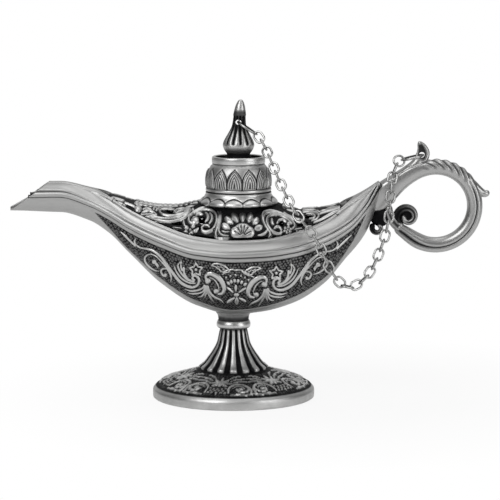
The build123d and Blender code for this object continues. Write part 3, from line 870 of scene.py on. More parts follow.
def make_panel(name, side, sheet, carving):
    """One carved side of the bowl: fine relief in front, a plain back, closed all round."""
    rise = carving.bowl_rise
    front = PANEL_ROWS / (PANEL_ROWS + BACK_ROWS)
    wide = sheet.blurred(0.8)

    def place(u, v):
        x = PANEL_SPOUT_END + PANEL_GAP + (PANEL_STERN_END - PANEL_SPOUT_END - 2 * PANEL_GAP) * u
        upper, lower = panel_angles(x, carving.panel_border)
        upper, lower = upper + PANEL_GAP_TURN, lower - PANEL_GAP_TURN
        ahead = v <= front + 1e-6
        share = np.where(ahead, v / front, 1 - (v - front) / (1 - front))
        share = np.clip(share, 0, 1)
        angle = upper + np.maximum(lower - upper, 0.004) * share
        flat = bowl_place(x, angle, 0 * x)
        view_x, view_z = front_view(flat)
        height, tone, ground = tones(sheet, view_x, view_z, rise, 0.02)
        sheet_near = wide.sample(view_x, view_z) / rise
        round_hull = angle * hull(x, HALF) ** 0.5 * hull(x, DEPTH) ** 0.5
        grain = grains(x, round_hull, carving.grain) * ground * ahead
        height = height + GRAIN_HEIGHT * grain
        # Grains next to the raised forms are dimmed as painted shade.
        tone = tone + GRAIN_TONE * grain * (0.3 + 0.7 * np.clip(1.4 - 2.4 * sheet_near, 0, 1))
        edge = np.minimum(share, 1 - share)
        fade = blend_step(edge * (lower - upper) * 28, 0.0, 0.5)
        inset = np.where(ahead, carving.panel_sink - height * fade, carving.panel_backing)
        points = bowl_place(x, angle, inset)
        points[:, 1] *= side
        return points, {"tone": np.where(ahead, tone * (0.4 + 0.6 * fade), 0.2)}

    mesh = grid_mesh(name, 620, PANEL_ROWS + BACK_ROWS, place)
    return tidy_mesh(mesh, cap_ends=True, outward_from=(0, 0, SEAM_HEIGHT))


# Rim


OPENING_SPOUT_END = -56.5
OPENING_STERN_END = 50.0
BEAD_HEIGHT = 2.3
BEAD_BULGE = 0.8
# Where the bead fades towards the mouth, and the hollow shoulder turns into the round spout
BEAD_FADE = (-90.5, -76.0)
SPOUT_FADE = (-74.0, -50.0)
BEAD_STEPS = 13
HOLLOW_STEPS = 26
ARCH_STEPS = 24
# Rows of the rim's mesh on one side that hold the bead, and the bead with the hollow
BEAD_ROWS = 10
BAND_ROWS = 45


def opening_width(x):
    """Half width of the leaf-shaped opening that the deck fills."""
    edge = hull(x, EDGE_ACROSS)
    start = np.clip((x - OPENING_SPOUT_END) / 7.0, 0, 1)
    end = np.clip((OPENING_STERN_END - x) / 8.0, 0, 1)
    return np.maximum(edge * np.sqrt(start * (2 - start)) * np.sqrt(end * (2 - end)), 0.0)


def crown_half(x):
    """The crown's outline at one x, from seam to crest with y positive, and where its band ends."""
    width, seam, edge_y, edge_z, crest = (
        float(hull(x, column)) for column in (HALF, SEAM, EDGE_ACROSS, EDGE_UP, CREST)
    )
    base, top = seam + 0.1, seam + BEAD_HEIGHT
    turn = np.linspace(-math.pi / 2, math.pi / 2, BEAD_STEPS)
    bulge = BEAD_BULGE * (0.15 + 0.85 * float(blend_step(x, *BEAD_FADE)))
    bead_y = width + bulge * np.cos(turn)
    bead_z = (base + top) / 2 + (top - base) / 2 * np.sin(turn)
    t = np.linspace(0, 1, HOLLOW_STEPS)
    spout = 1 - float(blend_step(x, *SPOUT_FADE))
    bow = 0.42 * spout - 0.22
    middle_y = (width + edge_y) / 2 + bow * (edge_z - top)
    middle_z = (top + edge_z) / 2 + bow * (width - edge_y)
    hollow_y = (1 - t) ** 2 * width + 2 * t * (1 - t) * middle_y + t * t * edge_y
    hollow_z = (1 - t) ** 2 * top + 2 * t * (1 - t) * middle_z + t * t * edge_z
    span = math.hypot(width - edge_y, edge_z - top)
    cut = 0.6 * mound(t * span, 0.55, 0.45)
    lift = 0.35 * (1 - spout) * mound((1 - t) * span, 0.7, 0.5)
    across = np.array([edge_z - top, width - edge_y]) / max(span, 1e-6)
    hollow_y = hollow_y + across[0] * (lift - cut)
    hollow_z = hollow_z + across[1] * (lift - cut)
    s = np.linspace(0, math.pi / 2, ARCH_STEPS)[1:]
    arch_y = edge_y * np.cos(s)
    arch_z = edge_z + (crest - edge_z) * np.sin(s)
    y = np.concatenate([bead_y, hollow_y[1:], arch_y])
    z = np.concatenate([bead_z, hollow_z[1:], arch_z])
    return y, z, BEAD_STEPS + HOLLOW_STEPS - 2


def make_rim():
    """The beaded band with its hollow shoulder, and the upper half of the spout."""
    columns, rows = 400, 120

    def column(x):
        y, z, edge = crown_half(x)
        open_y = float(opening_width(x))
        along = np.concatenate([[0], np.cumsum(np.hypot(np.diff(y), np.diff(z)))])
        if 0.01 < open_y < y[edge] - 1e-6:
            k = int(np.argmax((y <= open_y) & (np.arange(len(y)) >= edge)))
            share = (y[k - 1] - open_y) / max(y[k - 1] - y[k], 1e-9)
            stop = along[k - 1] + share * (along[k] - along[k - 1])
        elif open_y <= 0.01:
            stop = along[edge] + (along[-1] - along[edge]) * (0.98 if -60 < x < 53 else 0.5)
        else:
            stop = along[edge]
        return y, z, along, stop

    def place(u, v):
        x = HULL_START + (HULL_END - HULL_START) * u
        keys = np.round(u * columns).astype(int)
        row = np.round(v * rows).astype(int)
        side = np.minimum(row, rows - row)
        points = np.zeros((len(u), 3))
        tone = np.zeros(len(u))
        hole = np.ones(len(u))
        for key in np.unique(keys):
            here = np.nonzero(keys == key)[0]
            x_here = x[here[0]]
            y, z, along, stop = column(x_here)
            k = side[here]
            bead = along[BEAD_STEPS - 1]
            hollow = bead + (stop - bead) * (k - BEAD_ROWS) / (BAND_ROWS - BEAD_ROWS)
            low = np.where(k <= BEAD_ROWS, bead * k / BEAD_ROWS, hollow)
            high = stop + (along[-1] - stop) * (k - BAND_ROWS) / (rows / 2 - BAND_ROWS)
            place_along = np.where(k <= BAND_ROWS, low, high)
            near = np.interp(place_along, along, y)
            points[here, 0] = x_here
            points[here, 1] = np.where(row[here] <= rows / 2, -near, near)
            points[here, 2] = np.interp(place_along, along, z)
            groove = mound(place_along - bead, 0.5, 0.62)
            tone[here] = 1.0 - 0.97 * groove - 0.8 * (place_along < 0.4)
            inside = (k > BAND_ROWS) & (OPENING_SPOUT_END < x_here < OPENING_STERN_END)
            hole[here] = np.where(inside, -10.0, 1.0)
        return points, {"tone": np.clip(tone, 0, 1), "hole": hole}

    mesh = trim_mouth(grid_mesh("rim", columns, rows, place))
    return tidy_mesh(mesh, hole_mark="hole", outward_from=(0, 0, SEAM_HEIGHT))


# Deck


DECK_SPOUT_END = -51.6
DECK_STERN_END = 44.0
DECK_GAP = 0.15
DECK_GROUND = 0.95
# Round the neck: the deck is closed within the first radius and left out within the second
NECK_CLOSED = 17.0
NECK_HOLE = 12.0
# The deck swells up to the neck: how high, between which radii, and how wide
NECK_LIFT = 2.4
NECK_LIFT_REACH = (14.0, 28.0)
NECK_LIFT_WIDTH = 8.0
# Beads along the ridge: where they fade out on each side, and their spacing
RIDGE_FADE = (5.0, 8.0)
RIDGE_SPACING = 3.0
WINDOW_SMOOTHINGS = 4
DECK_UNIT = 0.032
DECK_LEFT = (-45.2, 89.0)
DECK_RIGHT = (0.6, 89.0)
# Windows on one side of the deck: place in plan, turn in degrees, length and width
DECK_WINDOWS = (
    (-11.3, 20.3, 8.0, 8.0, 1.8),
    (-12.8, 16.2, 90.0, 4.4, 2.5),
    (-25.3, 16.8, 17.0, 9.0, 1.9),
    (-26.0, 9.8, 70.0, 4.2, 3.0),
    (-41.3, 8.6, 25.0, 6.4, 2.4),
    (19.4, 17.4, 90.0, 3.6, 2.6),
    (28.5, 16.6, -25.0, 5.0, 1.8),
    (30.7, 11.6, 90.0, 3.4, 2.6),
    (38.3, 12.4, -32.0, 8.0, 2.0),
)


def draw_left_scroll(pen):
    """Two lines side by side that end in a hooked ball, over a wide foot, with an inner scroll."""
    near = [
        (1338, 662), (1272, 652), (1226, 606), (1224, 540), (1240, 465), (1250, 392), (1240, 330),
        (1200, 286),
    ]
    pen.line(near, 15, 1.0, 0.9, 0.9)
    outer = [(1196, 700), (1180, 640), (1190, 570), (1208, 500), (1222, 430), (1226, 370), (1206, 318)]
    pen.line(outer, 14, 1.0, 0.9, 0.6)
    pen.line([(1340, 702), (1280, 700), (1205, 702)], 22, 1.0)
    hook = [
        (1215, 296), (1160, 272), (1090, 266), (1010, 280), (930, 314), (868, 360), (832, 412), (834, 462),
        (872, 492),
    ]
    pen.line(hook, 18, 1.0, 0.9, 0.9)
    pen.ball(912, 446, 56, 1.15)
    pen.cut([(856, 396), (880, 420), (906, 410)], 13, 0.9)
    inner = [
        (905, 352), (965, 316), (1050, 298), (1130, 312), (1180, 356), (1194, 420), (1180, 490), (1150, 550),
        (1100, 600),
    ]
    pen.line(inner, 15, 0.95, 0.6, 0.9)
    pen.line([(1120, 590), (1060, 612), (1018, 600)], 32, 1.05, 0.8, 0.8)
    pen.line([(1006, 590), (1000, 548), (1026, 520), (1070, 518), (1092, 540)], 17, 1.0)
    pen.line([(1050, 345), (1078, 380), (1076, 425), (1048, 462)], 19, 1.0, 0.6, 0.6)
    pen.line([(1105, 350), (1132, 390), (1128, 440), (1098, 486)], 17, 1.0, 0.6, 0.6)
    pen.line([(925, 372), (965, 352), (1005, 366)], 21, 0.95, 0.5, 0.6)
    for x, y in ((884, 522), (912, 596), (860, 636), (786, 616), (796, 546)):
        pen.ball(x, y, 30, 1.0, 1.15, math.degrees(math.atan2(578 - y, x - 848)))
    pen.ball(848, 578, 17, 1.1)
    pen.line([(904, 600), (934, 576), (952, 558)], 20, 0.9, 0.7, 0.8)
    pen.line([(764, 440), (766, 495), (784, 535)], 15, 0.9, 0.5, 0.8)
    pen.line([(620, 545), (680, 552), (730, 556)], 10, 0.8, 0.5, 0.5)


def draw_left_leaf(pen):
    """The big leaf to the left of the scroll, with its veins and the curls above it."""
    leaf = [(290, 408), (380, 430), (480, 452), (580, 458), (670, 440), (750, 398), (802, 350), (822, 300)]
    widths = np.interp(np.linspace(0, 1, 200), (0, 0.35, 0.7, 1), (12, 42, 40, 14))
    for point, width in zip(curve_through(leaf, 6.0), widths):
        pen.ball(point[0], point[1], width, 1.0)
    pen.line(
        [
            (268, 408), (330, 396), (420, 412), (500, 426), (600, 430), (700, 404), (770, 372), (822, 326),
            (834, 296), (806, 282),
        ],
        15, 1.15, 0.6, 0.8,
    )
    pen.cut([(330, 418), (440, 436), (560, 448), (680, 430), (760, 392)], 9, 0.85)
    pen.line([(455, 318), (478, 294), (540, 290), (600, 302), (640, 296)], 17, 0.9, 0.6, 0.6)
    pen.line([(448, 330), (490, 364), (560, 382), (640, 384), (720, 370), (790, 332)], 17, 0.9, 0.6, 0.6)
    pen.line(
        [(640, 330), (690, 296), (760, 286), (812, 302), (792, 334), (735, 358), (675, 362), (640, 330)], 13,
        0.95,
    )
    pen.line([(672, 338), (720, 322), (770, 308)], 12, 0.9, 0.6, 0.5)
    pen.line([(830, 262), (880, 236), (940, 212)], 22, 0.9, 0.6, 0.6)
    pen.ball(884, 300, 20, 0.9)
    pen.line([(800, 276), (842, 250), (862, 226)], 13, 0.8)


def draw_left_end(pen):
    """A ball and a small leaf near the spout, and the beaded border."""
    pen.ball(170, 292, 50, 1.1)
    pen.line([(212, 374), (238, 338), (300, 322), (362, 338), (410, 376)], 14, 1.0, 0.8, 0.8)
    pen.line([(214, 384), (262, 372), (330, 370), (400, 384)], 12, 0.95, 0.8, 0.8)
    pen.line([(372, 296), (396, 258), (432, 256), (440, 290), (410, 306)], 15, 0.9)
    pen.line([(236, 296), (300, 286), (345, 304)], 14, 0.85, 0.6, 0.6)
    for x, y in (
        (160, 218), (215, 224), (275, 232), (335, 240), (395, 250), (455, 250), (520, 254), (585, 260),
        (650, 246), (715, 226), (780, 212),
    ):
        pen.ball(x, y, 30, 0.95, 1.5, -12)
    for x, y in ((840, 196), (900, 180), (960, 166)):
        pen.ball(x, y, 26, 0.95, 1.5, 20)
    pen.line([(0, 214), (60, 236), (120, 262)], 14, 0.9)
    pen.line([(-330, 210), (-230, 170), (-130, 152), (-20, 180)], 22, 0.9, 0.6, 0.8)
    pen.line([(-300, 260), (-200, 222), (-90, 218), (0, 250)], 18, 0.9, 0.6, 0.6)


def draw_shell(pen):
    """The shell in the middle, with its grooves and the rays round it."""
    for x, y, radius in ((1530, 594, 116), (1462, 612, 92), (1598, 612, 92), (1530, 640, 106)):
        pen.ball(x, y, radius, 1.25)
    for turn, reach in ((24, 120), (50, 118), (76, 108), (104, 108), (130, 118), (156, 120)):
        a = math.radians(turn)
        places = [
            (1532 + share * reach * math.cos(a), 668 - share * reach * 1.45 * math.sin(a))
            for share in (0.25, 0.6, 0.95)
        ]
        pen.cut(places, 9, 0.95)
    pen.ball(1538, 712, 46, 1.3)
    for x0, y0, x1, y1 in (
        (1352, 556, 1284, 508), (1392, 482, 1324, 414), (1460, 456, 1408, 358), (1532, 446, 1528, 334),
        (1612, 456, 1636, 366), (1676, 490, 1714, 430), (1700, 562, 1766, 538),
    ):
        pen.petal((x0, y0), (x1, y1), 45, 1.1)
    pen.line([(1262, 590), (1300, 606), (1352, 600)], 12, 0.7, 0.6, 0.6)


def draw_right_scroll(pen):
    """The scroll on the handle's side, with the flower that it holds."""
    outer = [
        (436, 690), (460, 645), (444, 592), (402, 530), (366, 450), (354, 384), (378, 336), (430, 318),
        (500, 322), (580, 345), (660, 384), (722, 430), (768, 484), (780, 522), (758, 552),
    ]
    pen.line(outer, 15, 1.0, 0.8, 0.9)
    second = [
        (466, 636), (440, 580), (398, 515), (376, 450), (378, 396), (410, 356), (470, 346), (560, 366),
        (640, 402), (700, 446), (740, 492),
    ]
    pen.line(second, 11, 0.95, 0.8, 0.7)
    pen.line([(302, 656), (350, 650), (395, 620), (416, 590)], 24, 1.05, 0.5, 0.7)
    inner = [(672, 424), (610, 388), (540, 372), (470, 378), (426, 408), (414, 462), (432, 520), (474, 580)]
    pen.line(inner, 15, 1.0, 0.5, 1.0)
    pen.line([(470, 580), (520, 622), (580, 636), (606, 610)], 27, 1.05, 0.7, 0.8)
    pen.line([(516, 556), (540, 534), (580, 540), (604, 575)], 18, 1.0, 0.8, 0.9)
    pen.line([(480, 430), (484, 470), (502, 500)], 20, 0.95, 0.8, 0.7)
    pen.line([(556, 478), (580, 446), (630, 440), (664, 462)], 22, 0.95, 0.8, 0.7)
    pen.ball(700, 490, 28, 0.95)
    for turn in range(0, 360, 60):
        a = math.radians(turn + 18)
        pen.ball(688 + 44 * math.cos(a), 580 - 44 * math.sin(a), 20, 0.95, 1.1, turn + 18)
    pen.ball(688, 580, 17, 1.1)


def draw_right_leaf(pen):
    """The leaves, balls and long strokes that run to the handle."""
    pen.line([(786, 570), (825, 564), (868, 558)], 10, 0.8)
    pen.line([(640, 345), (700, 392), (790, 428), (860, 440)], 26, 0.9, 0.6, 0.7)
    pen.line([(700, 300), (760, 320), (830, 370)], 22, 0.9, 0.7, 0.6)
    pen.ball(650, 250, 38, 1.0)
    pen.ball(690, 284, 24, 0.95)
    pen.line(
        [(888, 334), (970, 328), (1058, 344), (1092, 386), (1062, 430), (1000, 450)], 15, 0.95, 0.7, 0.6
    )
    pen.line([(930, 362), (1000, 362), (1042, 388), (1020, 416), (970, 424)], 13, 0.9, 0.7, 0.6)
    pen.line([(1030, 478), (1120, 440), (1200, 392), (1290, 340), (1392, 312)], 22, 1.0, 0.6, 0.7)
    pen.line([(1110, 356), (1200, 322), (1300, 292), (1392, 262)], 20, 0.95, 0.6, 0.8)
    pen.line([(1098, 330), (1180, 300), (1280, 272), (1380, 250)], 12, 0.85, 0.6, 0.8)
    pen.line([(880, 318), (960, 306), (1040, 308), (1090, 326)], 12, 0.85)


def draw_deck(rise):
    """The deck's scrolls, shell and flowers on a front-view sheet."""
    sheet = Carving((-60.0, 55.0), (64.0, 96.0), 0.1)
    left = Pen(sheet, DECK_UNIT, DECK_LEFT, None, 0.0, rise)
    right = Pen(sheet, DECK_UNIT, DECK_RIGHT, None, 0.0, rise)
    for draw in (draw_left_scroll, draw_left_leaf, draw_left_end, draw_shell):
        draw(left)
    draw_right_scroll(right)
    draw_right_leaf(right)
    return sheet


def windows(x, y):
    """Negative inside a window of the deck, growing outwards."""
    nearest = np.full(len(x), 9.0)
    for across, out, turn, length, width in DECK_WINDOWS:
        a = math.radians(turn)
        dx, dy = x - across, np.abs(y) - out
        along = (dx * math.cos(a) + dy * math.sin(a)) / (length / 2)
        aside = (dy * math.cos(a) - dx * math.sin(a)) / (width / 2)
        nearest = np.minimum(nearest, along ** 2 + aside ** 2 - 1)
    return nearest


def make_deck(name, start, stop, sheet, rise, holes_below):
    """One end of the arched cover: scrolls in relief with real openings between them."""

    def place(u, v):
        x = start + (stop - start) * u
        edge_y, edge_z, crest = hull(x, EDGE_ACROSS), hull(x, EDGE_UP), hull(x, CREST)
        open_y = np.maximum(opening_width(x) - DECK_GAP, 0.02)
        y = -open_y * np.cos(math.pi * v)
        arch = np.sqrt(np.clip(1 - (y / edge_y) ** 2, 0, 1))
        z = edge_z + (crest - edge_z) * arch
        from_neck = np.hypot(x - LID_AXIS, y)
        near_neck = 1 - blend_step(from_neck, *NECK_LIFT_REACH)
        z = z + NECK_LIFT * near_neck * mound(y, 0.0, NECK_LIFT_WIDTH)
        flat = np.column_stack([x, y, z])
        view_x, view_z = front_view(flat)
        height, tone, ground = tones(sheet, view_x, view_z, rise, 0.03)
        tone = tone + 0.12 * grains(view_x, view_z * 1.4, 0.8) * ground
        ridge = 1 - blend_step(np.abs(y), *RIDGE_FADE)
        beaded = 1 - 0.9 * ridge * (0.5 - 0.5 * np.cos(2 * math.pi * y / RIDGE_SPACING))
        height, tone = height * beaded, tone * beaded
        normal = np.column_stack([0 * x, y * (crest - edge_z) ** 2, (z - edge_z + 0.5) * edge_y ** 2])
        normal /= np.linalg.norm(normal, axis=1)[:, None]
        points = flat + normal * (height - DECK_GROUND)[:, None]
        hole = np.maximum(windows(x, y), height / rise - holes_below)
        hole = np.where(from_neck < NECK_CLOSED, 1.0, hole)
        return points, {"tone": tone, "hole": np.where(from_neck < NECK_HOLE, -9.0, hole)}

    mesh = grid_mesh(name, 260, 160, place)
    tidy_mesh(mesh, hole_mark="hole", outward_from=(0.5 * (start + stop), 0, SEAM_HEIGHT - 20))
    with shaping(mesh) as bm:
        for _ in range(WINDOW_SMOOTHINGS):
            edges = [
                v
                for v in bm.verts
                if v.is_boundary and min(abs(v.co.x - start * MM), abs(v.co.x - stop * MM)) > 1e-6
            ]
            bmesh.ops.smooth_vert(
                bm, verts=edges, factor=0.5, use_axis_x=True, use_axis_y=True, use_axis_z=True
            )
        loose = [v for v in bm.verts if not v.link_faces]
        bmesh.ops.delete(bm, geom=loose, context="VERTS")
    return mesh


# Round pieces


def outline_curve(points, spacing=0.2):
    """A smooth outline with sharp corners where a point is given twice."""
    runs = [[points[0]]]
    for a, b in zip(points, points[1:]):
        if a == b:
            runs.append([b])
        else:
            runs[-1].append(b)
    return np.vstack([curve_through(run, spacing) if len(run) > 2 else np.array(run, float) for run in runs])


def turned_mesh(name, outline, columns, rows, axis_x, shape):
    """A closed ring-like piece: an outline of radius and height turned round an upright axis.

    The outline is a loop. shape(angle, share, radius, height) gives changed radii, heights and marks.
    """
    path = np.vstack([outline, outline[:1]])
    along = np.concatenate([[0], np.cumsum(np.hypot(np.diff(path[:, 0]), np.diff(path[:, 1])))])
    along /= along[-1]

    def place(u, v):
        angle = 2 * math.pi * u
        radius, height = np.interp(v, along, path[:, 0]), np.interp(v, along, path[:, 1])
        radius, height, marks = shape(angle, v, radius, height)
        points = np.column_stack([axis_x + radius * np.cos(angle), radius * np.sin(angle), height])
        return points, marks

    return closed_mesh(name, columns, rows, place)


def closed_mesh(name, columns, rows, place):
    """A grid mesh that closes on itself, turned right way out by the sign of its volume."""
    mesh = tidy_mesh(grid_mesh(name, columns, rows, place))
    with shaping(mesh) as bm:
        if bm.calc_volume(signed=True) < 0:
            bmesh.ops.reverse_faces(bm, faces=bm.faces)
    return mesh


NECK_BORE = 11.5
SCALLOPS = 13
SCALLOP_LINE = 84.35
SCALLOP_DROP = 1.45
PETAL_FOOT = 88.2
PETAL_HEIGHT = 9.3
PETAL_WIDTH = 6.4
PRINT_SPACING = 0.95
FLUTES = 12
FLUTE_FOOT = 105.7
FLUTE_TOP = 118.2
FRONT_TURN = math.radians(-97)


def make_collar():
    """The flared neck with a wavy dark line and a row of rounded scallops below it."""
    outline = outline_curve([
        (NECK_BORE, 72.0), (NECK_BORE, 72.0), (NECK_BORE, 86.4), (NECK_BORE, 86.4), (13.3, 86.4),
        (13.3, 86.4), (13.75, 86.1), (13.6, 85.7), (13.85, 85.1), (14.4, 84.3), (15.1, 83.5), (15.8, 82.8),
        (16.2, 82.1), (16.0, 81.5), (15.3, 81.1), (14.7, 80.5), (14.5, 79.5), (14.5, 73.0), (14.5, 73.0),
        (14.3, 72.0), (14.3, 72.0),
    ])

    def shape(angle, share, radius, height):
        phase = (angle - FRONT_TURN) * SCALLOPS / (2 * math.pi)
        s = (phase + 0.5) % 1.0 - 0.5
        wave = SCALLOP_LINE - SCALLOP_DROP * (2 * np.abs(s)) ** 2.0
        outer = radius > NECK_BORE + 0.4
        below = wave - height
        under = outer * between(below, (0.0, 0.4), (3.0, 4.5))
        bulge = under * (0.6 * np.sqrt(np.clip(1 - (2 * s) ** 2, 0, 1)) - 0.3)
        line = outer * mound(height, wave, 0.32)
        gap = outer * under * mound(np.abs(s), 0.5, 0.045)
        # Below the flare the collar is painted near black as shadow.
        tone = 1.0 - 0.97 * line - 0.6 * gap - 0.97 * outer * (1 - blend_step(height, 80.9, 81.7))
        tone = tone - 0.8 * outer * blend_step(height, 86.05, 86.25)
        return radius + bulge - 0.35 * line, height, {"tone": np.clip(tone, 0, 1)}

    return turned_mesh("neck_collar", outline, 390, 220, LID_AXIS, shape)


def make_lid(depth):
    """The domed lid: a plain ring, thirteen pointed petals with feathering, a top ring and a dish."""
    outline = outline_curve([
        (11.6, 86.6), (11.6, 86.6), (13.35, 86.6), (13.35, 86.6), (13.6, 86.9), (13.62, 87.7), (13.4, 88.0),
        (13.35, 88.2), (13.55, 89.5), (13.6, 91.0), (13.5, 92.6), (13.2, 94.2), (12.6, 95.8), (11.8, 97.1),
        (10.9, 97.9), (10.75, 98.1), (11.0, 98.4), (11.05, 99.3), (11.0, 100.5), (10.75, 100.9),
        (10.2, 101.05), (9.8, 100.8), (9.7, 100.3), (9.6, 98.9), (9.6, 98.9), (6.8, 99.6), (2.0, 99.7),
        (2.0, 99.7), (2.0, 97.4), (2.0, 97.4), (8.0, 97.2), (8.0, 97.2), (11.4, 93.8), (11.6, 92.0),
        (11.6, 88.0), (11.6, 88.0),
    ])

    def shape(angle, share, radius, height):
        phase = (angle - FRONT_TURN) * SCALLOPS / (2 * math.pi)
        s = (phase + 0.5) % 1.0 - 0.5
        t = np.clip((height - PETAL_FOOT) / PETAL_HEIGHT, 0, 1)
        outer = (radius > 10.7) & (height > 88.1) & (height < 97.9) & (share < 0.6)
        spread = 0.49 * np.clip(1 - np.clip((t - 0.25) / 0.60, 0, 1) ** 2.0, 0, 1) ** 0.8
        off = (spread - np.abs(s)) * PETAL_WIDTH
        inside = blend_step(off, -0.12, 0.25)
        seam = mound(off, -0.04, 0.28) * (t < 0.9)
        low = blend_step(t, 0.0, 0.06)
        leaf = off + 1.1 * np.clip(0.75 - t, 0, 1) * (off > 0)
        print_lines = 0.5 + 0.5 * np.cos(2 * math.pi * (leaf - 0.30) / PRINT_SPACING)
        etched = inside * blend_step(off, 0.30, 0.5) * low
        rise = outer * (0.32 * inside + 0.32 * etched * print_lines - 0.3 * seam - 0.36) * depth
        etching = 0.85 * etched * (1 - print_lines)
        tone = np.where(outer, 0.95 - 0.95 * seam - etching - 0.25 * (1 - inside), 1.0)
        tone = tone - 0.25 * outer * (1 - low)
        line = mound(height, 88.0, 0.2) + mound(height, 98.05, 0.2)
        # The weaker line at 99.9 mm is painted shade under the top ring's lip.
        line = line * (radius > 10.5) + 0.5 * mound(height, 99.9, 0.25) * (radius > 10.5)
        line = line + 0.8 * (radius > 12.5) * (1 - blend_step(height, 86.75, 87.0))
        dish = (radius < 9.75) & (height > 98)
        tone = np.where(dish, 0.1, tone * (1 - 0.9 * np.clip(line, 0, 1)))
        return radius + rise, height, {"tone": np.clip(tone, 0, 1)}

    return turned_mesh("lid_cap", outline, 416, 220, LID_AXIS, shape)


HOLE_HEIGHT = 115.05
HOLE_RADIUS = 1.25
FINIAL_TONE = 0.75
# The finial leans toward the handle: how far at its tip, and the height from which it starts
FINIAL_LEAN = 0.9
LEAN_START = 101.0
LEAN_RUN = 23.6


def make_finial():
    """The finial: a base ring, a bulb with tear-shaped flutes, a waist with a hole and a bud."""
    outline = outline_curve([
        (0.0, 99.8), (0.0, 99.8), (5.1, 99.8), (5.1, 99.8), (5.3, 100.2), (5.3, 101.0), (5.0, 101.5),
        (4.75, 101.8), (4.9, 102.2), (5.4, 102.9), (6.0, 103.9), (6.42, 105.0), (6.53, 105.8),
        (6.35, 106.8), (5.85, 108.0), (5.15, 109.3), (4.3, 110.8), (3.5, 112.3), (3.0, 113.7),
        (2.76, 115.0), (2.62, 116.5), (2.56, 117.6), (2.66, 118.2), (2.56, 118.8), (2.42, 119.6),
        (2.25, 120.6), (1.95, 121.9), (1.45, 123.2), (0.85, 124.2), (0.0, 124.6), (0.0, 124.6),
    ])

    def shape(angle, share, radius, height):
        s = ((angle - FRONT_TURN) * FLUTES / (2 * math.pi) + 0.5) % 1.0 - 0.5
        t = np.clip((height - FLUTE_FOOT) / (FLUTE_TOP - FLUTE_FOOT), 0, 1)
        band = between(height, (105.6, 106.4), (117.0, FLUTE_TOP))
        wide = 0.40 - 0.17 * np.clip(t * 2, 0, 1)
        tear = np.sqrt(np.clip(1 - (s / wide) ** 2, 0, 1))
        groove = band * (1 - tear)
        foot = mound(height, 101.75, 0.4) * (radius > 3)
        low = (1 - blend_step(height, 102.0, 106.0)) * (radius > 3) * (height > 101.6)
        neck = between(height, (110.0, 113.5), (119.3, 120.8))
        tone = 1.0 - 0.97 * groove - 0.75 * foot - 0.62 * low
        tone = tone - 0.70 * neck - 0.85 * (height < 101.6) * (radius > 3)
        tone = FINIAL_TONE * np.clip(tone, 0.02, 1)
        return radius - 0.55 * groove * (1 - 0.45 * t), height, {"tone": tone}

    mesh = turned_mesh("finial", outline, 240, 190, LID_AXIS, shape)
    for vertex in mesh.vertices:
        share = max(0.0, vertex.co.z / MM - LEAN_START) / LEAN_RUN
        vertex.co.x += FINIAL_LEAN * MM * share ** 2
    return mesh


def bored(piece, centre, radius, length):
    """Bores a hole across the lamp through a piece that is already in place."""
    mesh = bpy.data.meshes.new("bore")
    with shaping(mesh) as bm:
        bmesh.ops.create_cone(
            bm, cap_ends=True, segments=40, radius1=radius * MM, radius2=radius * MM, depth=length * MM
        )
        bmesh.ops.rotate(bm, verts=bm.verts, cent=(0, 0, 0), matrix=Matrix.Rotation(math.pi / 2, 3, "X"))
        bmesh.ops.translate(bm, verts=bm.verts, vec=Vector(centre) * MM)
    cutter = bpy.data.objects.new("bore", mesh)
    put_in_scene(cutter)
    cut = piece.modifiers.new("Bore", "BOOLEAN")
    cut.operation = "DIFFERENCE"
    cut.solver = "EXACT"
    cut.object = cutter
    result = bpy.data.meshes.new_from_object(piece.evaluated_get(bpy.context.evaluated_depsgraph_get()))
    piece.modifiers.remove(cut)
    bpy.data.objects.remove(cutter)
    piece.data = result
    return piece


FOOT_RIM_TONE = 0.66
FOOT_REPEATS = 6
# Turns the skirt's design until a flower stands where the photograph has one
FOOT_TURN = math.radians(-133.6)
TILE_WIDTH = 28.0
TILE_HEIGHT = 19.0
SKIRT_SCROLL = (
    (4.4, 2.6), (4.7, 7.2), (7.4, 9.9), (11.0, 9.4), (12.9, 6.6), (11.6, 3.8), (9.0, 3.4), (7.9, 5.4)
)
# The carved skirt's radii, and the ribbed stem's ends
SKIRT_INNER = 13.7
SKIRT_OUTER = 32.3
STEM_FOOT = 12.0
STEM_TOP = 28.9
RIBS = 16


def draw_foot_half(sheet, rise, side):
    """One half of the skirt's tile: side is -1 to the left of its middle line and 1 to the right."""

    def spots(*places):
        return [(TILE_WIDTH / 2 + side * x, y) for x, y in places]

    for places, width, height, start, end in (
        (SKIRT_SCROLL, 0.6, 1.0, 0.5, 1.0),
        (((6.2, 6.9), (8.0, 8.2), (10.2, 7.8), (11.0, 6.2)), 0.42, 0.8, 0.4, 0.6),
        (((12.6, 8.4), (13.4, 5.2), (13.0, 2.2)), 0.48, 1.0, 0.5, 0.8),
        (((4.8, 1.2), (8.0, 1.9), (11.0, 1.3), (14.0, 2.0)), 0.42, 1.0, 0.5, 0.8),
        (((5.0, 10.9), (8.6, 12.2), (13.6, 12.6)), 0.52, 1.0, 0.4, 0.7),
        (((4.4, 12.6), (8.2, 14.4), (13.4, 15.0)), 0.48, 1.0, 0.4, 0.7),
        (((3.6, 14.4), (6.6, 16.4), (11.2, 17.4)), 0.44, 1.0, 0.4, 0.7),
    ):
        sheet.cord(spots(*places), width, rise * height, start, end)
    sheet.dot(*spots((9.3, 5.5))[0], 1.1, rise * 1.15)
    for place in (
        (0.0, 2.6), (1.7, 2.7), (3.3, 3.0), (0.8, 4.1), (2.5, 4.3), (0.0, 5.6), (1.7, 5.8), (3.2, 6.1)
    ):
        sheet.dot(*spots(place)[0], 0.5, rise)
    for x, y in ((3.9, 14.0), (4.6, 11.2), (3.4, 8.2)):
        for t in np.linspace(0.2, 1, 9):
            place = spots((x * t, 11.2 + (y - 11.2) * t))[0]
            sheet.dot(*place, 0.30 + 0.52 * math.sin(math.pi * t), rise)


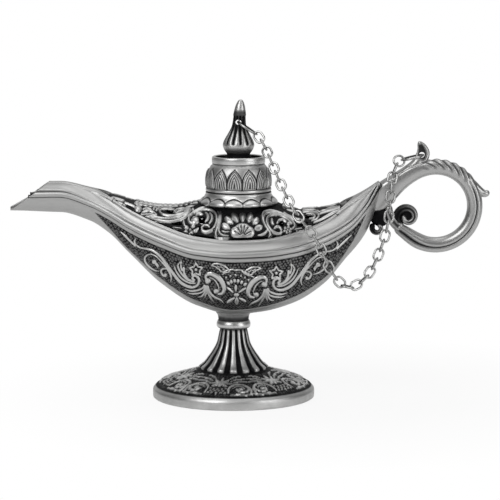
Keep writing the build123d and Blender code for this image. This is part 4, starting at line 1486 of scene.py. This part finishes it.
def draw_foot_tile(rise):
    """One repeat of the skirt's design: scrolls, a flower and beads, rim side at the bottom."""
    sheet = Carving((0.0, -1.0), (TILE_WIDTH, TILE_HEIGHT + 1.0), 0.08)
    for side in (-1, 1):
        draw_foot_half(sheet, rise, side)
    middle = TILE_WIDTH / 2
    for t in np.linspace(0, 1, 12):
        sheet.dot(middle, 12.2 + 3.6 * t, 0.3 + 0.5 * math.sin(math.pi * t), rise)
        sheet.dot(middle, 10.2 - 2.2 * t, 0.3 + 0.4 * math.sin(math.pi * t), rise)
    sheet.dot(middle, 11.2, 1.0, rise * 1.2)
    return sheet


def make_foot(relief):
    """The foot: a brushed rim, a sloping skirt carved all round, and a ribbed stem."""
    sheet = draw_foot_tile(relief)
    skirt = [(32.3, 5.2), (30.6, 6.35), (28.9, 7.2), (25.4, 8.3), (21.8, 9.3), (17.6, 10.6), (14.4, 11.8)]
    outline = outline_curve([
        (0.0, 9.4), (0.0, 9.4), (8.0, 9.4), (8.0, 9.4), (19.0, 6.5), (28.1, 3.35), (31.4, 0.0), (31.4, 0.0),
        (33.2, 0.0), (33.2, 0.0), (33.7, 0.35), (33.8, 1.2), (33.8, 3.0), (33.6, 3.8), (33.0, 4.5),
        (32.4, 5.15), (32.4, 5.15), *skirt, (13.7, 12.1), (13.5, 12.7), (13.1, 13.3), (12.3, 14.3),
        (11.2, 15.6), (10.3, 16.9), (9.2, 18.4), (8.2, 20.0), (7.3, 21.6), (6.6, 23.4), (6.15, 25.6),
        (5.75, 27.6), (5.6, 29.0), (5.6, 29.0), (0.0, 29.0), (0.0, 29.0),
    ])

    def shape(angle, share, radius, height):
        outer = share > 0.33
        on_skirt = outer & (radius < SKIRT_OUTER) & (radius > SKIRT_INNER) & (height > 5.3) & (
            height < STEM_FOOT
        )
        tile_x = ((angle - FOOT_TURN) * FOOT_REPEATS / (2 * math.pi) % 1.0) * TILE_WIDTH
        tile_y = (32.2 - radius) * 1.07
        edge = between(tile_y, (0.2, 0.9), (TILE_HEIGHT - 1.0, TILE_HEIGHT))
        raised, tone, ground = tones(sheet, tile_x, tile_y, relief, 0.02)
        tone = 0.97 * tone + 0.2 * grains(angle * radius, tile_y, 1.25) * ground
        raised = raised * on_skirt * edge
        on_stem = outer & (height >= STEM_FOOT) & (height < STEM_TOP) & (radius > 1.0)
        s = (angle * RIBS / (2 * math.pi) + 0.5) % 1.0 - 0.5
        rib = np.sqrt(np.clip(1 - (s / 0.36) ** 2, 0, 1))
        fade = between(height, (STEM_FOOT, 13.0), (27.6, 28.6))
        fall = np.clip((height - STEM_FOOT) / 16.0, 0, 1)
        flute = on_stem * fade * (rib - 0.7) * (1.15 - 0.5 * fall)
        bulb = on_stem * rib * mound(height, 12.9, 0.8) * 0.9
        # The ribs get a painted highlight along their tops and painted shade down their sides into the
        # flutes.
        rib_highlight_tone = 0.03 + 0.87 * blend_step(rib, 0.5, 1.0)
        rib_highlight_tone = rib_highlight_tone * (1 - fade) * 0.6 + rib_highlight_tone * fade
        line = mound(height, 5.15, 0.22) * (radius > 31.5) * outer
        plain = np.where(on_stem, 0.8 * rib_highlight_tone, FOOT_RIM_TONE)
        tone = np.where(on_skirt, tone * (0.35 + 0.65 * edge), plain) * (1 - 0.9 * line)
        level = height + raised - 0.35 * on_skirt * edge
        return radius + flute + bulb, level, {"tone": np.clip(tone, 0, 1)}

    return turned_mesh("foot", outline, 600, 158, 0.0, shape)


def make_stem_collar():
    """The plain rounded bead between the stem and the bowl."""
    outline = outline_curve([
        (3.0, 29.05), (3.0, 29.05), (6.0, 29.05), (6.0, 29.05), (6.6, 29.3), (7.0, 29.9), (7.1, 30.7),
        (6.95, 31.5), (6.6, 32.2), (6.3, 32.6), (6.3, 32.6), (3.0, 32.6), (3.0, 32.6),
    ])

    def shape(angle, share, radius, height):
        line = mound(height, 29.3, 0.3) + mound(height, 32.5, 0.3)
        return radius, height, {"tone": np.clip(1 - 0.8 * line, 0, 1)}

    return turned_mesh("stem_collar", outline, 128, 60, 0.0, shape)


def make_bowl_neck():
    """The short waist under the bowl, flaring into its keel."""
    outline = outline_curve([
        (3.0, 32.65), (3.0, 32.65), (6.3, 32.65), (6.3, 32.65), (6.4, 33.4), (6.5, 34.2), (6.9, 35.0),
        (7.6, 36.0), (7.6, 36.0), (3.0, 36.0), (3.0, 36.0),
    ])

    def shape(angle, share, radius, height):
        return radius, height, {"tone": 0.22 + 0.5 * blend_step(height, 33.4, 35.2)}

    return turned_mesh("bowl_neck", outline, 96, 40, 0.0, shape)


# Handle


LOOP_X = 84.0
LOOP_Z = 80.2
LOOP_RADIUS = 16.3
LOOP_BAR = 3.2
HANDLE_HALF_THICKNESS = 3.6
FEATHER_SPACING = 3.4
FEATHER_SWEEP = 4.5
LEAF_HOLE = (78.1, 101.5)


def tube_mesh(name, rows, columns, sides, shape=None, square=1.0):
    """A bar with round ends along a path in the lamp's middle plane.

    Each row is x, z, half height in the plane and half thickness across it. shape(share, angle,
    length) gives a change of size in millimetres and marks.
    """
    path = curve_through(rows, 0.1)
    along = np.concatenate([[0], np.cumsum(np.hypot(*np.diff(path[:, :2], axis=0).T))])
    total = along[-1]

    def place(u, v):
        t = u * total
        x, z, high, thick = (np.interp(t, along, path[:, k]) for k in range(4))
        step = 0.15
        before = [np.interp(np.clip(t - step, 0, total), along, path[:, k]) for k in (0, 1)]
        after = [np.interp(np.clip(t + step, 0, total), along, path[:, k]) for k in (0, 1)]
        dx, dz = after[0] - before[0], after[1] - before[1]
        size = np.maximum(np.hypot(dx, dz), 1e-9)
        dx, dz = dx / size, dz / size
        start, end = (
            np.sqrt(np.clip(1 - (1 - np.clip(gone / high, 0, 1)) ** 2, 0, 1)) for gone in (t, total - t)
        )
        close = start * end
        angle = 2 * math.pi * v
        c, s = np.cos(angle), np.sin(angle)
        c, s = np.sign(c) * np.abs(c) ** square, np.sign(s) * np.abs(s) ** square
        change, marks = shape(u, angle, t) if shape else (0 * u, {"tone": 0 * u + 1.0})
        up, out = (high + change) * close * c, (thick + change) * close * s
        return np.column_stack([x - dz * up, out, z + dx * up]), marks

    return closed_mesh(name, columns, sides, place)


def loop_row(turn, high=LOOP_BAR, thick=HANDLE_HALF_THICKNESS):
    """A point of the loop's bar at a turn in degrees."""
    a = math.radians(turn)
    return (LOOP_X + LOOP_RADIUS * math.cos(a), LOOP_Z + LOOP_RADIUS * math.sin(a), high, thick)


def curled_rows(centre, steps, turning, reach, high, thick):
    """Points of a curl that winds inwards: each pair is a value at the start and its change or loss."""
    rows = []
    for step in range(steps + 1):
        share = step / steps
        a = math.radians(turning[0] + turning[1] * share)
        radius = reach[0] - reach[1] * share
        rows.append(
            (
                centre[0] + radius * math.cos(a),
                centre[1] + radius * math.sin(a),
                high[0] - high[1] * share,
                thick[0] - thick[1] * share,
            )
        )
    return rows


# Bars of the handle. Rows: x, z, half height in the plane and half thickness across it
ARM = (
    (56.6, 78.6, 2.8, 2.0), (59.5, 82.0, 4.6, 2.7), (63.8, 86.4, 4.9, 3.5), (69.4, 90.8, 3.9, 3.7),
    (75.1, 94.4, 3.5, 3.6),
)
LOOP_TURNS = range(104, -129, -16)
LOOP_END = ((71.0, 69.3, 2.7, 3.2), (67.2, 71.9, 2.1, 2.6))
SPUR = (
    (97.0, 92.0, 1.1, 1.8), (99.2, 89.5, 1.8, 2.4), (101.4, 87.1, 1.9, 2.4), (103.3, 85.7, 1.7, 2.1),
    (104.9, 85.5, 1.5, 1.9), (106.0, 86.6, 1.0, 1.3),
)
TAIL = (
    (70.6, 70.4, 2.4, 3.0), (67.6, 72.6, 2.2, 2.6), (65.6, 75.2, 2.0, 2.3), (64.6, 78.2, 1.7, 2.1),
    (65.0, 80.6, 1.4, 1.9),
)
# The root and the web across the volute's eye are painted near black as shadow; the web stands in for the
# shade in that eye.
ROOT = ((57.0, 74.4, 2.8, 1.4), (60.0, 75.2, 3.9, 1.5), (63.4, 75.8, 3.6, 1.5), (66.2, 75.2, 2.4, 1.3))
VOLUTE_SHADOW_WEB = ((68.8, 75.7, 2.6, 1.1), (72.2, 75.8, 3.4, 1.2), (75.4, 75.8, 2.6, 1.1))
LEAF = (
    (62.3, 89.2, 1.2, 2.0), (67.0, 92.2, 1.6, 3.0), (71.3, 94.8, 1.8, 3.0), (75.0, 97.2, 2.1, 2.5),
    (77.7, 99.6, 2.6, 2.0), (78.6, 102.0, 2.8, 1.4), (78.3, 104.2, 2.2, 1.2), (77.4, 106.1, 1.3, 1.0),
    (76.8, 107.2, 0.5, 0.6),
)


# Surfaces of the bars, from the share along, the angle round and the length along


def feathered(u, angle, t):
    """The loop: a ridge along the arm, feathers over the shoulder, then a groove round the outside."""
    level = np.cos(angle) - 0.22
    wide = 0.10 + 0.22 * blend_step(u, 0.80, 0.97)
    groove = mound(level, 0.0, wide)
    fade = between(u, (0.44, 0.52), (0.97, 1.0))
    ridge = mound(level, 0.35, 0.2) * between(u, (0.02, 0.08), (0.2, 0.34))
    sweep = (t - FEATHER_SWEEP * (1 - np.cos(angle))) / FEATHER_SPACING
    stroke = (0.5 + 0.5 * np.cos(2 * math.pi * sweep)) ** 0.7
    plume = blend_step(np.cos(angle), -0.25, 0.15) * between(u, (0.26, 0.30), (0.43, 0.49))
    tone = 1.0 - 0.97 * groove * fade - 0.8 * plume * (1 - stroke)
    change = 0.25 * ridge - 0.8 * groove * fade + plume * (0.5 * stroke - 0.25)
    return change, {"tone": np.clip(tone, 0, 1)}


def grooved(u, angle, t):
    """The tail: a groove along each side."""
    groove = blend_step(np.abs(np.sin(angle)), 0.90, 0.99) * between(u, (0.05, 0.2), (0.8, 0.95))
    return -0.35 * groove, {"tone": 1.0 - 0.8 * groove}


def shaded(u, angle, t):
    """The curls: grooved too, with painted shade where they start."""
    change, marks = grooved(u, angle, t)
    return change, {"tone": marks["tone"] * (0.12 + 0.75 * blend_step(u, 0.2, 0.75))}


def shadow_black(u, angle, t):
    """The parts behind the others, painted near black as shadow."""
    return 0 * u, {"tone": 0 * u + 0.03}


def hollowed(u, angle, t):
    """The leaf: a hollow near its tip."""
    across = np.cos(angle)
    hollow = between(across, (-0.75, -0.35), (0.8, 0.95)) * between(u, (0.62, 0.75), (0.93, 0.98))
    return -0.45 * hollow, {"tone": 1.0 - 0.85 * hollow}


def make_leaf():
    """The handle's leaf, bored for the chain's ring."""
    holder = bpy.data.objects.new("leaf", tube_mesh("leaf", LEAF, 190, 48, hollowed))
    put_in_scene(holder)
    bored(holder, (LEAF_HOLE[0], 0, LEAF_HOLE[1]), HOLE_RADIUS, 12.0)
    blade = holder.data
    bpy.data.objects.remove(holder)
    return blade


def make_handle():
    """The scrolled handle: arm and loop, spur, tail, curls and leaf, as one casting."""
    loop = [*ARM, *(loop_row(turn) for turn in LOOP_TURNS), *LOOP_END]
    stern_curl = curled_rows((59.9, 70.9), 10, (130, 330), (2.4, 1.3), (1.2, 0.3), (2.2, 0.2))
    volute = curled_rows((72.3, 75.7), 12, (232, -450), (4.9, 3.8), (1.72, 1.72 * 0.33), (2.3, 0.3))
    meshes = [tube_mesh("loop", loop, 420, 64, feathered, square=0.85)]
    for name, rows, columns, sides, surface in (
        ("spur", SPUR, 90, 32, None),
        ("tail", TAIL, 140, 36, grooved),
        ("root", ROOT, 60, 32, shadow_black),
        ("stern_curl", stern_curl, 100, 32, shaded),
        ("volute", volute, 220, 36, shaded),
        ("volute_shadow_web", VOLUTE_SHADOW_WEB, 50, 28, shadow_black),
    ):
        meshes.append(tube_mesh(name, rows, columns, sides, surface))
    return join_meshes("handle", [*meshes, make_leaf()])


# Chain


def wire_place(node):
    """Centre, directions and sizes of a bent wire's node: the long way, the wide way and across."""
    mesh = node.data
    flat = np.empty(len(mesh.vertices) * 3, np.float32)
    mesh.vertices.foreach_get("co", flat)
    points = flat.reshape(-1, 3).astype(float) / MM
    centre = points.mean(axis=0)
    directions = np.linalg.svd(points - centre, full_matrices=False)[2]
    spans = (points - centre) @ directions.T
    middle = (spans.max(axis=0) + spans.min(axis=0)) / 2
    return centre + middle @ directions, directions, spans.max(axis=0) - spans.min(axis=0)


def make_wire(name, node, wire, columns, sides):
    """A smooth wire bent into an oval or a ring where its node is."""
    centre, directions, sizes = wire_place(node)
    wide = (sizes[1] - wire) / 2
    straight = max((sizes[0] - wire) / 2 - wide, 0.0)
    length = 2 * math.pi * wide + 4 * straight

    def place(u, v):
        t = (u % 1.0) * length
        quarter = math.pi * wide
        arc_a, arc_b = t < quarter, (t >= quarter + 2 * straight) & (t < 2 * quarter + 2 * straight)
        a = np.where(arc_a, t / wide - math.pi / 2, 0.0)
        a = np.where(arc_b, (t - quarter - 2 * straight) / wide + math.pi / 2, a)
        run_top = (t >= quarter) & (t < quarter + 2 * straight)
        run_low = t >= 2 * quarter + 2 * straight
        x = np.where(arc_a, straight + wide * np.cos(a), np.where(arc_b, -straight + wide * np.cos(a), 0.0))
        y = np.where(arc_a | arc_b, wide * np.sin(a), 0.0)
        nx, ny = np.where(arc_a | arc_b, np.cos(a), 0.0), np.where(arc_a | arc_b, np.sin(a), 0.0)
        x = np.where(run_top, straight - (t - quarter), x)
        y, ny = np.where(run_top, wide, y), np.where(run_top, 1.0, ny)
        x = np.where(run_low, -straight + (t - 2 * quarter - 2 * straight), x)
        y, ny = np.where(run_low, -wide, y), np.where(run_low, -1.0, ny)
        angle = 2 * math.pi * v
        out, across = wire / 2 * np.cos(angle), wire / 2 * np.sin(angle)
        local = np.column_stack([x + nx * out, y + ny * out, across])
        # The tone paints shade: dark on the link's inner side, where grime also sits, and a little dark on
        # its outer edge, so each link shows dark outlines.
        facing = np.cos(angle)
        tone = 1 - 0.85 * blend_step(-facing, 0.3, 1.0) - 0.35 * blend_step(facing, 0.5, 1.0)
        return centre + local @ directions, {"tone": tone}

    return closed_mesh(name, columns, sides, place)


# Stage


LIGHT_TARGET = (0, 0, 0.06)


def make_camera(settings):
    """The camera, where the photograph was taken from."""
    data = bpy.data.cameras.new("Camera")
    data.lens = settings.lens
    data.sensor_width = 36.0
    data.clip_start = 0.01
    camera = bpy.data.objects.new("Camera", data)
    camera.location = settings.camera_place
    aim = Vector(settings.camera_aim) - Vector(settings.camera_place)
    camera.rotation_euler = aim.to_track_quat("-Z", "Y").to_euler()
    put_in_scene(camera)
    bpy.context.scene.camera = camera


def make_light(name, place, size, power):
    """One soft white area light turned to the object's middle."""
    data = bpy.data.lights.new(name, "AREA")
    data.shape = "RECTANGLE"
    data.size, data.size_y = size
    data.energy = power
    light = bpy.data.objects.new(name, data)
    light.location = place
    light.rotation_euler = (Vector(LIGHT_TARGET) - Vector(place)).to_track_quat("-Z", "Y").to_euler()
    put_in_scene(light)


def make_floor(settings):
    """A broad pale floor that melts into the white and keeps a faint shadow."""
    mesh = bpy.data.meshes.new("floor")
    with shaping(mesh) as bm:
        bmesh.ops.create_grid(bm, x_segments=8, y_segments=8, size=6.0)
    floor = bpy.data.objects.new("floor", mesh)
    floor.location = (0.04, 0, -0.0002)
    put_in_scene(floor)
    material = bpy.data.materials.new("Pale Floor")
    material.use_nodes = True
    tree = material.node_tree
    tree.nodes.clear()
    output = add_node(tree, "ShaderNodeOutputMaterial", 600, 0)
    paper = add_node(tree, "ShaderNodeBsdfPrincipled", 0, 200, inputs={"Roughness": 0.5})
    paper.inputs["Base Color"].default_value = (0.92, 0.92, 0.92, 1)
    glow = add_node(tree, "ShaderNodeEmission", 0, -200, inputs={"Strength": 1.0})
    path = add_node(tree, "ShaderNodeLightPath", -500, 0)
    place = add_node(tree, "ShaderNodeTexCoord", -1100, -200)
    away = add_node(tree, "ShaderNodeVectorMath", -900, -200, operation="LENGTH")
    near = add_range(tree, -700, -200, (0.05, 0.15), (settings.floor_glow, 1.0))
    seen = add_math(tree, "MULTIPLY_ADD", -350, 150, use_clamp=True)
    seen.inputs[1].default_value = settings.floor_reflected
    share = add_math(tree, "MULTIPLY", -200, 0)
    mix = add_node(tree, "ShaderNodeMixShader", 350, 0)
    connect(
        tree,
        (path, "Is Glossy Ray", seen, 0),
        (path, "Is Camera Ray", seen, 2),
        (place, "Object", away, 0),
        (away, "Value", near, "Value"),
        (seen, 0, share, 0),
        (near, 0, share, 1),
        (share, 0, mix, 0),
        (paper, 0, mix, 1),
        (glow, 0, mix, 2),
        (mix, 0, output, "Surface"),
    )
    floor.data.materials.append(material)


def make_world(settings):
    """White where the camera looks, and a soft room with a darker front for the reflections."""
    world = bpy.data.worlds.new("Studio")
    bpy.context.scene.world = world
    world.use_nodes = True
    tree = world.node_tree
    tree.nodes.clear()
    output = add_node(tree, "ShaderNodeOutputWorld", 900, 0)
    place = add_node(tree, "ShaderNodeTexCoord", -900, 0)
    split = add_node(tree, "ShaderNodeSeparateXYZ", -700, 0)
    front = add_range(tree, -450, 100, (-0.9, 0.7), (settings.front_level, settings.back_level))
    top = add_range(tree, -450, -200, (0.1, 0.9), (0.0, settings.top_level))
    total = add_math(tree, "ADD", -200, 0)
    aside = add_math(tree, "ABSOLUTE", -700, 350)
    flag = add_range(
        tree, -450, 350, (0.45, 0.85), (1.0, settings.side_level), interpolation_type="SMOOTHSTEP"
    )
    shaded = add_math(tree, "MULTIPLY", -50, 150)
    room = add_node(tree, "ShaderNodeBackground", 100, 100)
    white = add_node(tree, "ShaderNodeBackground", 100, -150, inputs={"Strength": 1.0})
    white.inputs["Color"].default_value = (1, 1, 1, 1)
    path = add_node(tree, "ShaderNodeLightPath", 100, 400)
    mix = add_node(tree, "ShaderNodeMixShader", 600, 0)
    connect(
        tree,
        (place, "Generated", split, 0),
        (split, "Y", front, "Value"),
        (split, "Z", top, "Value"),
        (front, 0, total, 0),
        (top, 0, total, 1),
        (split, "X", aside, 0),
        (aside, 0, flag, "Value"),
        (total, 0, shaded, 0),
        (flag, 0, shaded, 1),
        (shaded, 0, room, "Strength"),
        (path, "Is Camera Ray", mix, 0),
        (room, 0, mix, 1),
        (white, 0, mix, 2),
        (mix, 0, output, "Surface"),
    )


# Settings


class LampCarvingSettings(bpy.types.PropertyGroup):
    """Sizes of the carved relief."""

    bowl_rise: bpy.props.FloatProperty(
        name="Bowl relief", description="Height of the bowl's carving over its ground, in millimetres",
        default=0.62, min=0.1, max=1.5
    )
    panel_border: bpy.props.FloatProperty(
        name="Panel border", description="Plain border left above the carved panel, in millimetres",
        default=1.5, min=0.5, max=4.0
    )
    panel_sink: bpy.props.FloatProperty(
        name="Panel sink", description="Depth of the panel's ground below the bowl, in millimetres",
        default=0.45, min=0.0, max=0.9
    )
    panel_backing: bpy.props.FloatProperty(
        name="Panel bed", description="Depth of the bed that the panel lies in, in millimetres", default=1.0,
        min=0.6, max=1.3
    )
    deck_rise: bpy.props.FloatProperty(
        name="Deck relief", description="Height of the deck's scrolls, in millimetres", default=0.9, min=0.2,
        max=1.5
    )
    deck_open: bpy.props.FloatProperty(
        name="Deck openness", description="Share of the relief below which the deck is open", default=0.28,
        subtype="FACTOR", min=0.0, max=0.9
    )
    foot_rise: bpy.props.FloatProperty(
        name="Foot relief", description="Height of the skirt's carving, in millimetres", default=0.7,
        min=0.1, max=1.2
    )
    grain: bpy.props.FloatProperty(
        name="Grain spacing", description="Spacing of the stippled ground's grains, in millimetres",
        default=1.25, min=0.5, max=3.0
    )
    lid_depth: bpy.props.FloatProperty(
        name="Petal depth", description="Scale of the lid's petal relief", default=1.0, subtype="FACTOR",
        min=0.2, max=1.5
    )


class LampFinishSettings(bpy.types.PropertyGroup):
    """Colours of the silver and the chain."""

    bright: bpy.props.FloatVectorProperty(
        name="Worn silver", description="Colour of the metal where it is worn bright",
        default=(0.50, 0.50, 0.495), subtype="COLOR", size=3
    )
    dark: bpy.props.FloatVectorProperty(
        name="Tarnish", description="Colour left in the hollows", default=(0.012, 0.012, 0.013),
        subtype="COLOR", size=3
    )
    nickel: bpy.props.FloatVectorProperty(
        name="Chain nickel", description="Colour of the chain's wire", default=(0.55, 0.55, 0.545),
        subtype="COLOR", size=3
    )


class LampChainSettings(bpy.types.PropertyGroup):
    """Sizes of the chain's wire."""

    wire: bpy.props.FloatProperty(
        name="Wire", description="Diameter of the chain's wire, in millimetres", default=0.9, min=0.3,
        max=1.4
    )
    columns: bpy.props.IntProperty(
        name="Steps round a link", description="Faces along each link's wire", default=56, min=16, max=128
    )
    sides: bpy.props.IntProperty(
        name="Steps round the wire", description="Faces round the wire", default=14, min=6, max=32
    )


class LampStageSettings(bpy.types.PropertyGroup):
    """Camera, floor and light."""

    camera_place: bpy.props.FloatVectorProperty(
        name="Camera", description="Where the camera stands", default=(0.006875, -1.1, 0.21),
        subtype="TRANSLATION", size=3
    )
    camera_aim: bpy.props.FloatVectorProperty(
        name="Aim", description="What the camera looks at", default=(0.006875, 0.0, 0.0617),
        subtype="TRANSLATION", size=3
    )
    lens: bpy.props.FloatProperty(
        name="Lens", description="Focal length of the camera", default=191.8, subtype="DISTANCE_CAMERA"
    )
    floor_glow: bpy.props.FloatProperty(
        name="Floor glow", description="Share of the floor that the camera sees as pure white", default=0.88,
        subtype="FACTOR", min=0.0, max=1.0
    )
    floor_reflected: bpy.props.FloatProperty(
        name="Floor in reflections", description="Share of that white which the silver reflects",
        default=0.2, subtype="FACTOR", min=0.0, max=1.0
    )
    front_level: bpy.props.FloatProperty(
        name="Front level", description="Brightness of the room behind the camera", default=0.16, min=0.0
    )
    back_level: bpy.props.FloatProperty(
        name="Back level", description="Brightness of the room behind the lamp", default=0.60, min=0.0
    )
    top_level: bpy.props.FloatProperty(
        name="Top level", description="Brightness added overhead", default=0.12, min=0.0
    )
    side_level: bpy.props.FloatProperty(
        name="Side level", description="Share of the room's light left at both sides, as if flagged off",
        default=0.2, subtype="FACTOR", min=0.0, max=1.0
    )


# Operators


def antique(context, name, painted_light_gain=1.0, **options):
    """An antique silver finish in the chosen colours, made brighter by a gain that paints in light."""
    finish = context.scene.lamp_finish
    bright = tuple(min(1.0, painted_light_gain * part) for part in finish.bright)
    return silver_material(name, bright, tuple(finish.dark), **options)


def polished_silver(context):
    """The smooth, brushed finish of bowl and rim."""
    return antique(context, "Polished Silver", grime=0.25, stretch=(500.0, 2600.0, 2600.0), smooth=0.4)


def turned_silver(context):
    """The finish of the round pieces."""
    return antique(context, "Turned Silver", painted_light_gain=1.4, grime=0.22)


class LAMP_OT_bowl(bpy.types.Operator):
    """Build the bowl's shell, its waist and its two carved panels"""

    bl_idname = "lamp.bowl"
    bl_label = "Bowl"

    def execute(self, context):
        carving = context.scene.lamp_carving
        smooth = polished_silver(context)
        carved = antique(context, "Carved Silver", painted_light_gain=1.3, grime=0.2)
        sheet = draw_bowl(carving.bowl_rise)
        shell = make_bowl(carving.panel_border, carving.panel_backing + 0.05)
        finish_piece("bowl", shell, smooth, "lamp", ("bowl",), wall=SHELL_WALL)
        finish_piece("bowl_neck", make_bowl_neck(), smooth, "lamp", ("bowl",))
        for side, name in ((1, "bowl_panel_near"), (-1, "bowl_panel_far")):
            mesh = make_panel(name, side, sheet, carving)
            finish_piece(name, mesh, carved, "lamp", ("bowl",))
        return {"FINISHED"}


class LAMP_OT_rim(bpy.types.Operator):
    """Build the beaded rim with the upper half of the spout"""

    bl_idname = "lamp.rim"
    bl_label = "Rim and Spout"

    def execute(self, context):
        smooth = polished_silver(context)
        finish_piece("rim", make_rim(), smooth, "lamp", ("rim",), wall=SHELL_WALL)
        return {"FINISHED"}


class LAMP_OT_deck(bpy.types.Operator):
    """Build the openwork deck in two halves"""

    bl_idname = "lamp.deck"
    bl_label = "Openwork Deck"

    def execute(self, context):
        carving = context.scene.lamp_carving
        carved = antique(context, "Openwork Silver", painted_light_gain=1.2, grime=0.25)
        sheet = draw_deck(carving.deck_rise)
        for name, start, stop in (
            ("deck_spout_half", DECK_SPOUT_END, LID_AXIS),
            ("deck_handle_half", LID_AXIS, DECK_STERN_END),
        ):
            mesh = make_deck(name, start, stop, sheet, carving.deck_rise, carving.deck_open)
            finish_piece(name, mesh, carved, "lamp", ("deck",), wall=1.2)
        return {"FINISHED"}


class LAMP_OT_collar(bpy.types.Operator):
    """Build the neck's scalloped collar"""

    bl_idname = "lamp.collar"
    bl_label = "Neck Collar"

    def execute(self, context):
        turned = turned_silver(context)
        finish_piece("neck_collar", make_collar(), turned, "lamp", ("neck_collar",))
        return {"FINISHED"}


class LAMP_OT_lid(bpy.types.Operator):
    """Build the petalled lid and its fluted finial"""

    bl_idname = "lamp.lid"
    bl_label = "Lid and Finial"

    def execute(self, context):
        turned = turned_silver(context)
        finish_piece("lid_cap", make_lid(context.scene.lamp_carving.lid_depth), turned, "lid", ("lid_cap",))
        finial = finish_piece("finial", make_finial(), turned, "lid", ("finial",))
        bored(finial, (LID_AXIS, 0, HOLE_HEIGHT), HOLE_RADIUS, 14.0)
        return {"FINISHED"}


class LAMP_OT_foot(bpy.types.Operator):
    """Build the carved foot with its ribbed stem, and the bead over it"""

    bl_idname = "lamp.foot"
    bl_label = "Foot and Stem"

    def execute(self, context):
        carving = context.scene.lamp_carving
        carved = antique(context, "Foot Silver", painted_light_gain=1.7, grime=0.25)
        turned = turned_silver(context)
        finish_piece("foot", make_foot(carving.foot_rise), carved, "lamp", ("foot",))
        finish_piece("stem_collar", make_stem_collar(), turned, "lamp", ("stem_collar",))
        return {"FINISHED"}


class LAMP_OT_handle(bpy.types.Operator):
    """Build the scrolled loop handle with its leaf and spur"""

    bl_idname = "lamp.handle"
    bl_label = "Handle"

    def execute(self, context):
        cast = antique(context, "Cast Silver", grime=0.3)
        finish_piece("handle", make_handle(), cast, "lamp", ("handle",))
        return {"FINISHED"}


class LAMP_OT_chain(bpy.types.Operator):
    """Bend every link and ring of the chain in smooth wire"""

    bl_idname = "lamp.chain"
    bl_label = "Chain"

    def execute(self, context):
        settings = context.scene.lamp_chain
        finish = context.scene.lamp_finish
        nickel = silver_material(
            "Chain Nickel", tuple(finish.nickel), tuple(finish.dark), 0.3, smooth=0.12
        )
        rings = [name for name in frame["nodes"] if name.startswith("chain_link") or name.endswith("_ring")]
        if not rings:
            raise RuntimeError("the frame has no chain links")
        for name in sorted(rings):
            node = frame["nodes"][name]
            mesh = make_wire(name + "_wire", node, settings.wire, settings.columns, settings.sides)
            finish_piece(name + "_wire", mesh, nickel, body_of_node(name), (name,))
        return {"FINISHED"}


def body_of_node(name):
    """The body that a frame node rides on."""
    above = frame["nodes"][name].parent
    while above is not None:
        for body, holder in frame["bodies"].items():
            if holder == above:
                return body
        above = above.parent
    raise RuntimeError("no body holds " + name)


class LAMP_OT_fittings(bpy.types.Operator):
    """Give the hidden plug, screws and washers their finishes"""

    bl_idname = "lamp.fittings"
    bl_label = "Hidden Fittings"

    def execute(self, context):
        plain = antique(context, "Plain Silver", grime=0.15, tone=0.9, stretch=(2600.0, 2600.0, 120.0))
        zinc = silver_material(
            "Zinc Steel", (0.55, 0.57, 0.6), (0.1, 0.1, 0.11), 0.2, stretch=(900.0, 900.0, 300.0), tone=0.85
        )
        for name, material in (
            ("lid_plug", plain), ("lid_washer", zinc), ("finial_screw", zinc), ("foot_washer", zinc),
            ("foot_screw", zinc)
        ):
            node = frame["nodes"][name]
            node.data.materials.clear()
            node.data.materials.append(material)
        return {"FINISHED"}


class LAMP_OT_stage(bpy.types.Operator):
    """Set up the camera, the pale floor, the white room and the soft lights"""

    bl_idname = "lamp.stage"
    bl_label = "Stage"

    def execute(self, context):
        settings = context.scene.lamp_stage
        context.scene.view_settings.view_transform = "Standard"
        make_camera(settings)
        make_floor(settings)
        make_world(settings)
        make_light("Key", (-0.55, -0.75, 0.75), (0.7, 0.9), 5.6)
        make_light("Fill", (0.75, -0.55, 0.35), (0.5, 0.8), 2.6)
        make_light("Top", (0.1, 0.1, 0.95), (0.7, 0.5), 1.4)
        return {"FINISHED"}


STEPS = (
    LAMP_OT_stage,
    LAMP_OT_bowl,
    LAMP_OT_rim,
    LAMP_OT_deck,
    LAMP_OT_collar,
    LAMP_OT_lid,
    LAMP_OT_foot,
    LAMP_OT_handle,
    LAMP_OT_chain,
    LAMP_OT_fittings,
)


class LAMP_PT_panel(bpy.types.Panel):
    """Lists the steps and their settings"""

    bl_idname = "LAMP_PT_panel"
    bl_label = "Oil Lamp"
    bl_space_type = "VIEW_3D"
    bl_region_type = "UI"
    bl_category = "Oil Lamp"

    def draw(self, context):
        layout = self.layout
        for step in STEPS:
            layout.operator(step.bl_idname)
        for group in (
            context.scene.lamp_carving,
            context.scene.lamp_finish,
            context.scene.lamp_chain,
            context.scene.lamp_stage,
        ):
            box = layout.box()
            box.label(text=group.bl_rna.description)
            for name in group.__annotations__:
                box.prop(group, name)


SETTINGS = (
    ("lamp_carving", LampCarvingSettings),
    ("lamp_finish", LampFinishSettings),
    ("lamp_chain", LampChainSettings),
    ("lamp_stage", LampStageSettings),
)


def register():
    """Registers the settings, the operators and the panel."""
    for name, group in SETTINGS:
        bpy.utils.register_class(group)
        setattr(bpy.types.Scene, name, bpy.props.PointerProperty(type=group))
    for step in STEPS:
        bpy.utils.register_class(step)
    bpy.utils.register_class(LAMP_PT_panel)


def unregister():
    """Removes what register added."""
    bpy.utils.unregister_class(LAMP_PT_panel)
    for step in reversed(STEPS):
        bpy.utils.unregister_class(step)
    for name, group in reversed(SETTINGS):
        delattr(bpy.types.Scene, name)
        bpy.utils.unregister_class(group)


def main():
    """Builds everything in order."""
    register()
    bpy.ops.lamp.stage()
    bpy.ops.lamp.bowl()
    bpy.ops.lamp.rim()
    bpy.ops.lamp.deck()
    bpy.ops.lamp.collar()
    bpy.ops.lamp.lid()
    bpy.ops.lamp.foot()
    bpy.ops.lamp.handle()
    bpy.ops.lamp.chain()
    bpy.ops.lamp.fittings()


if __name__ == "__main__":
    main()
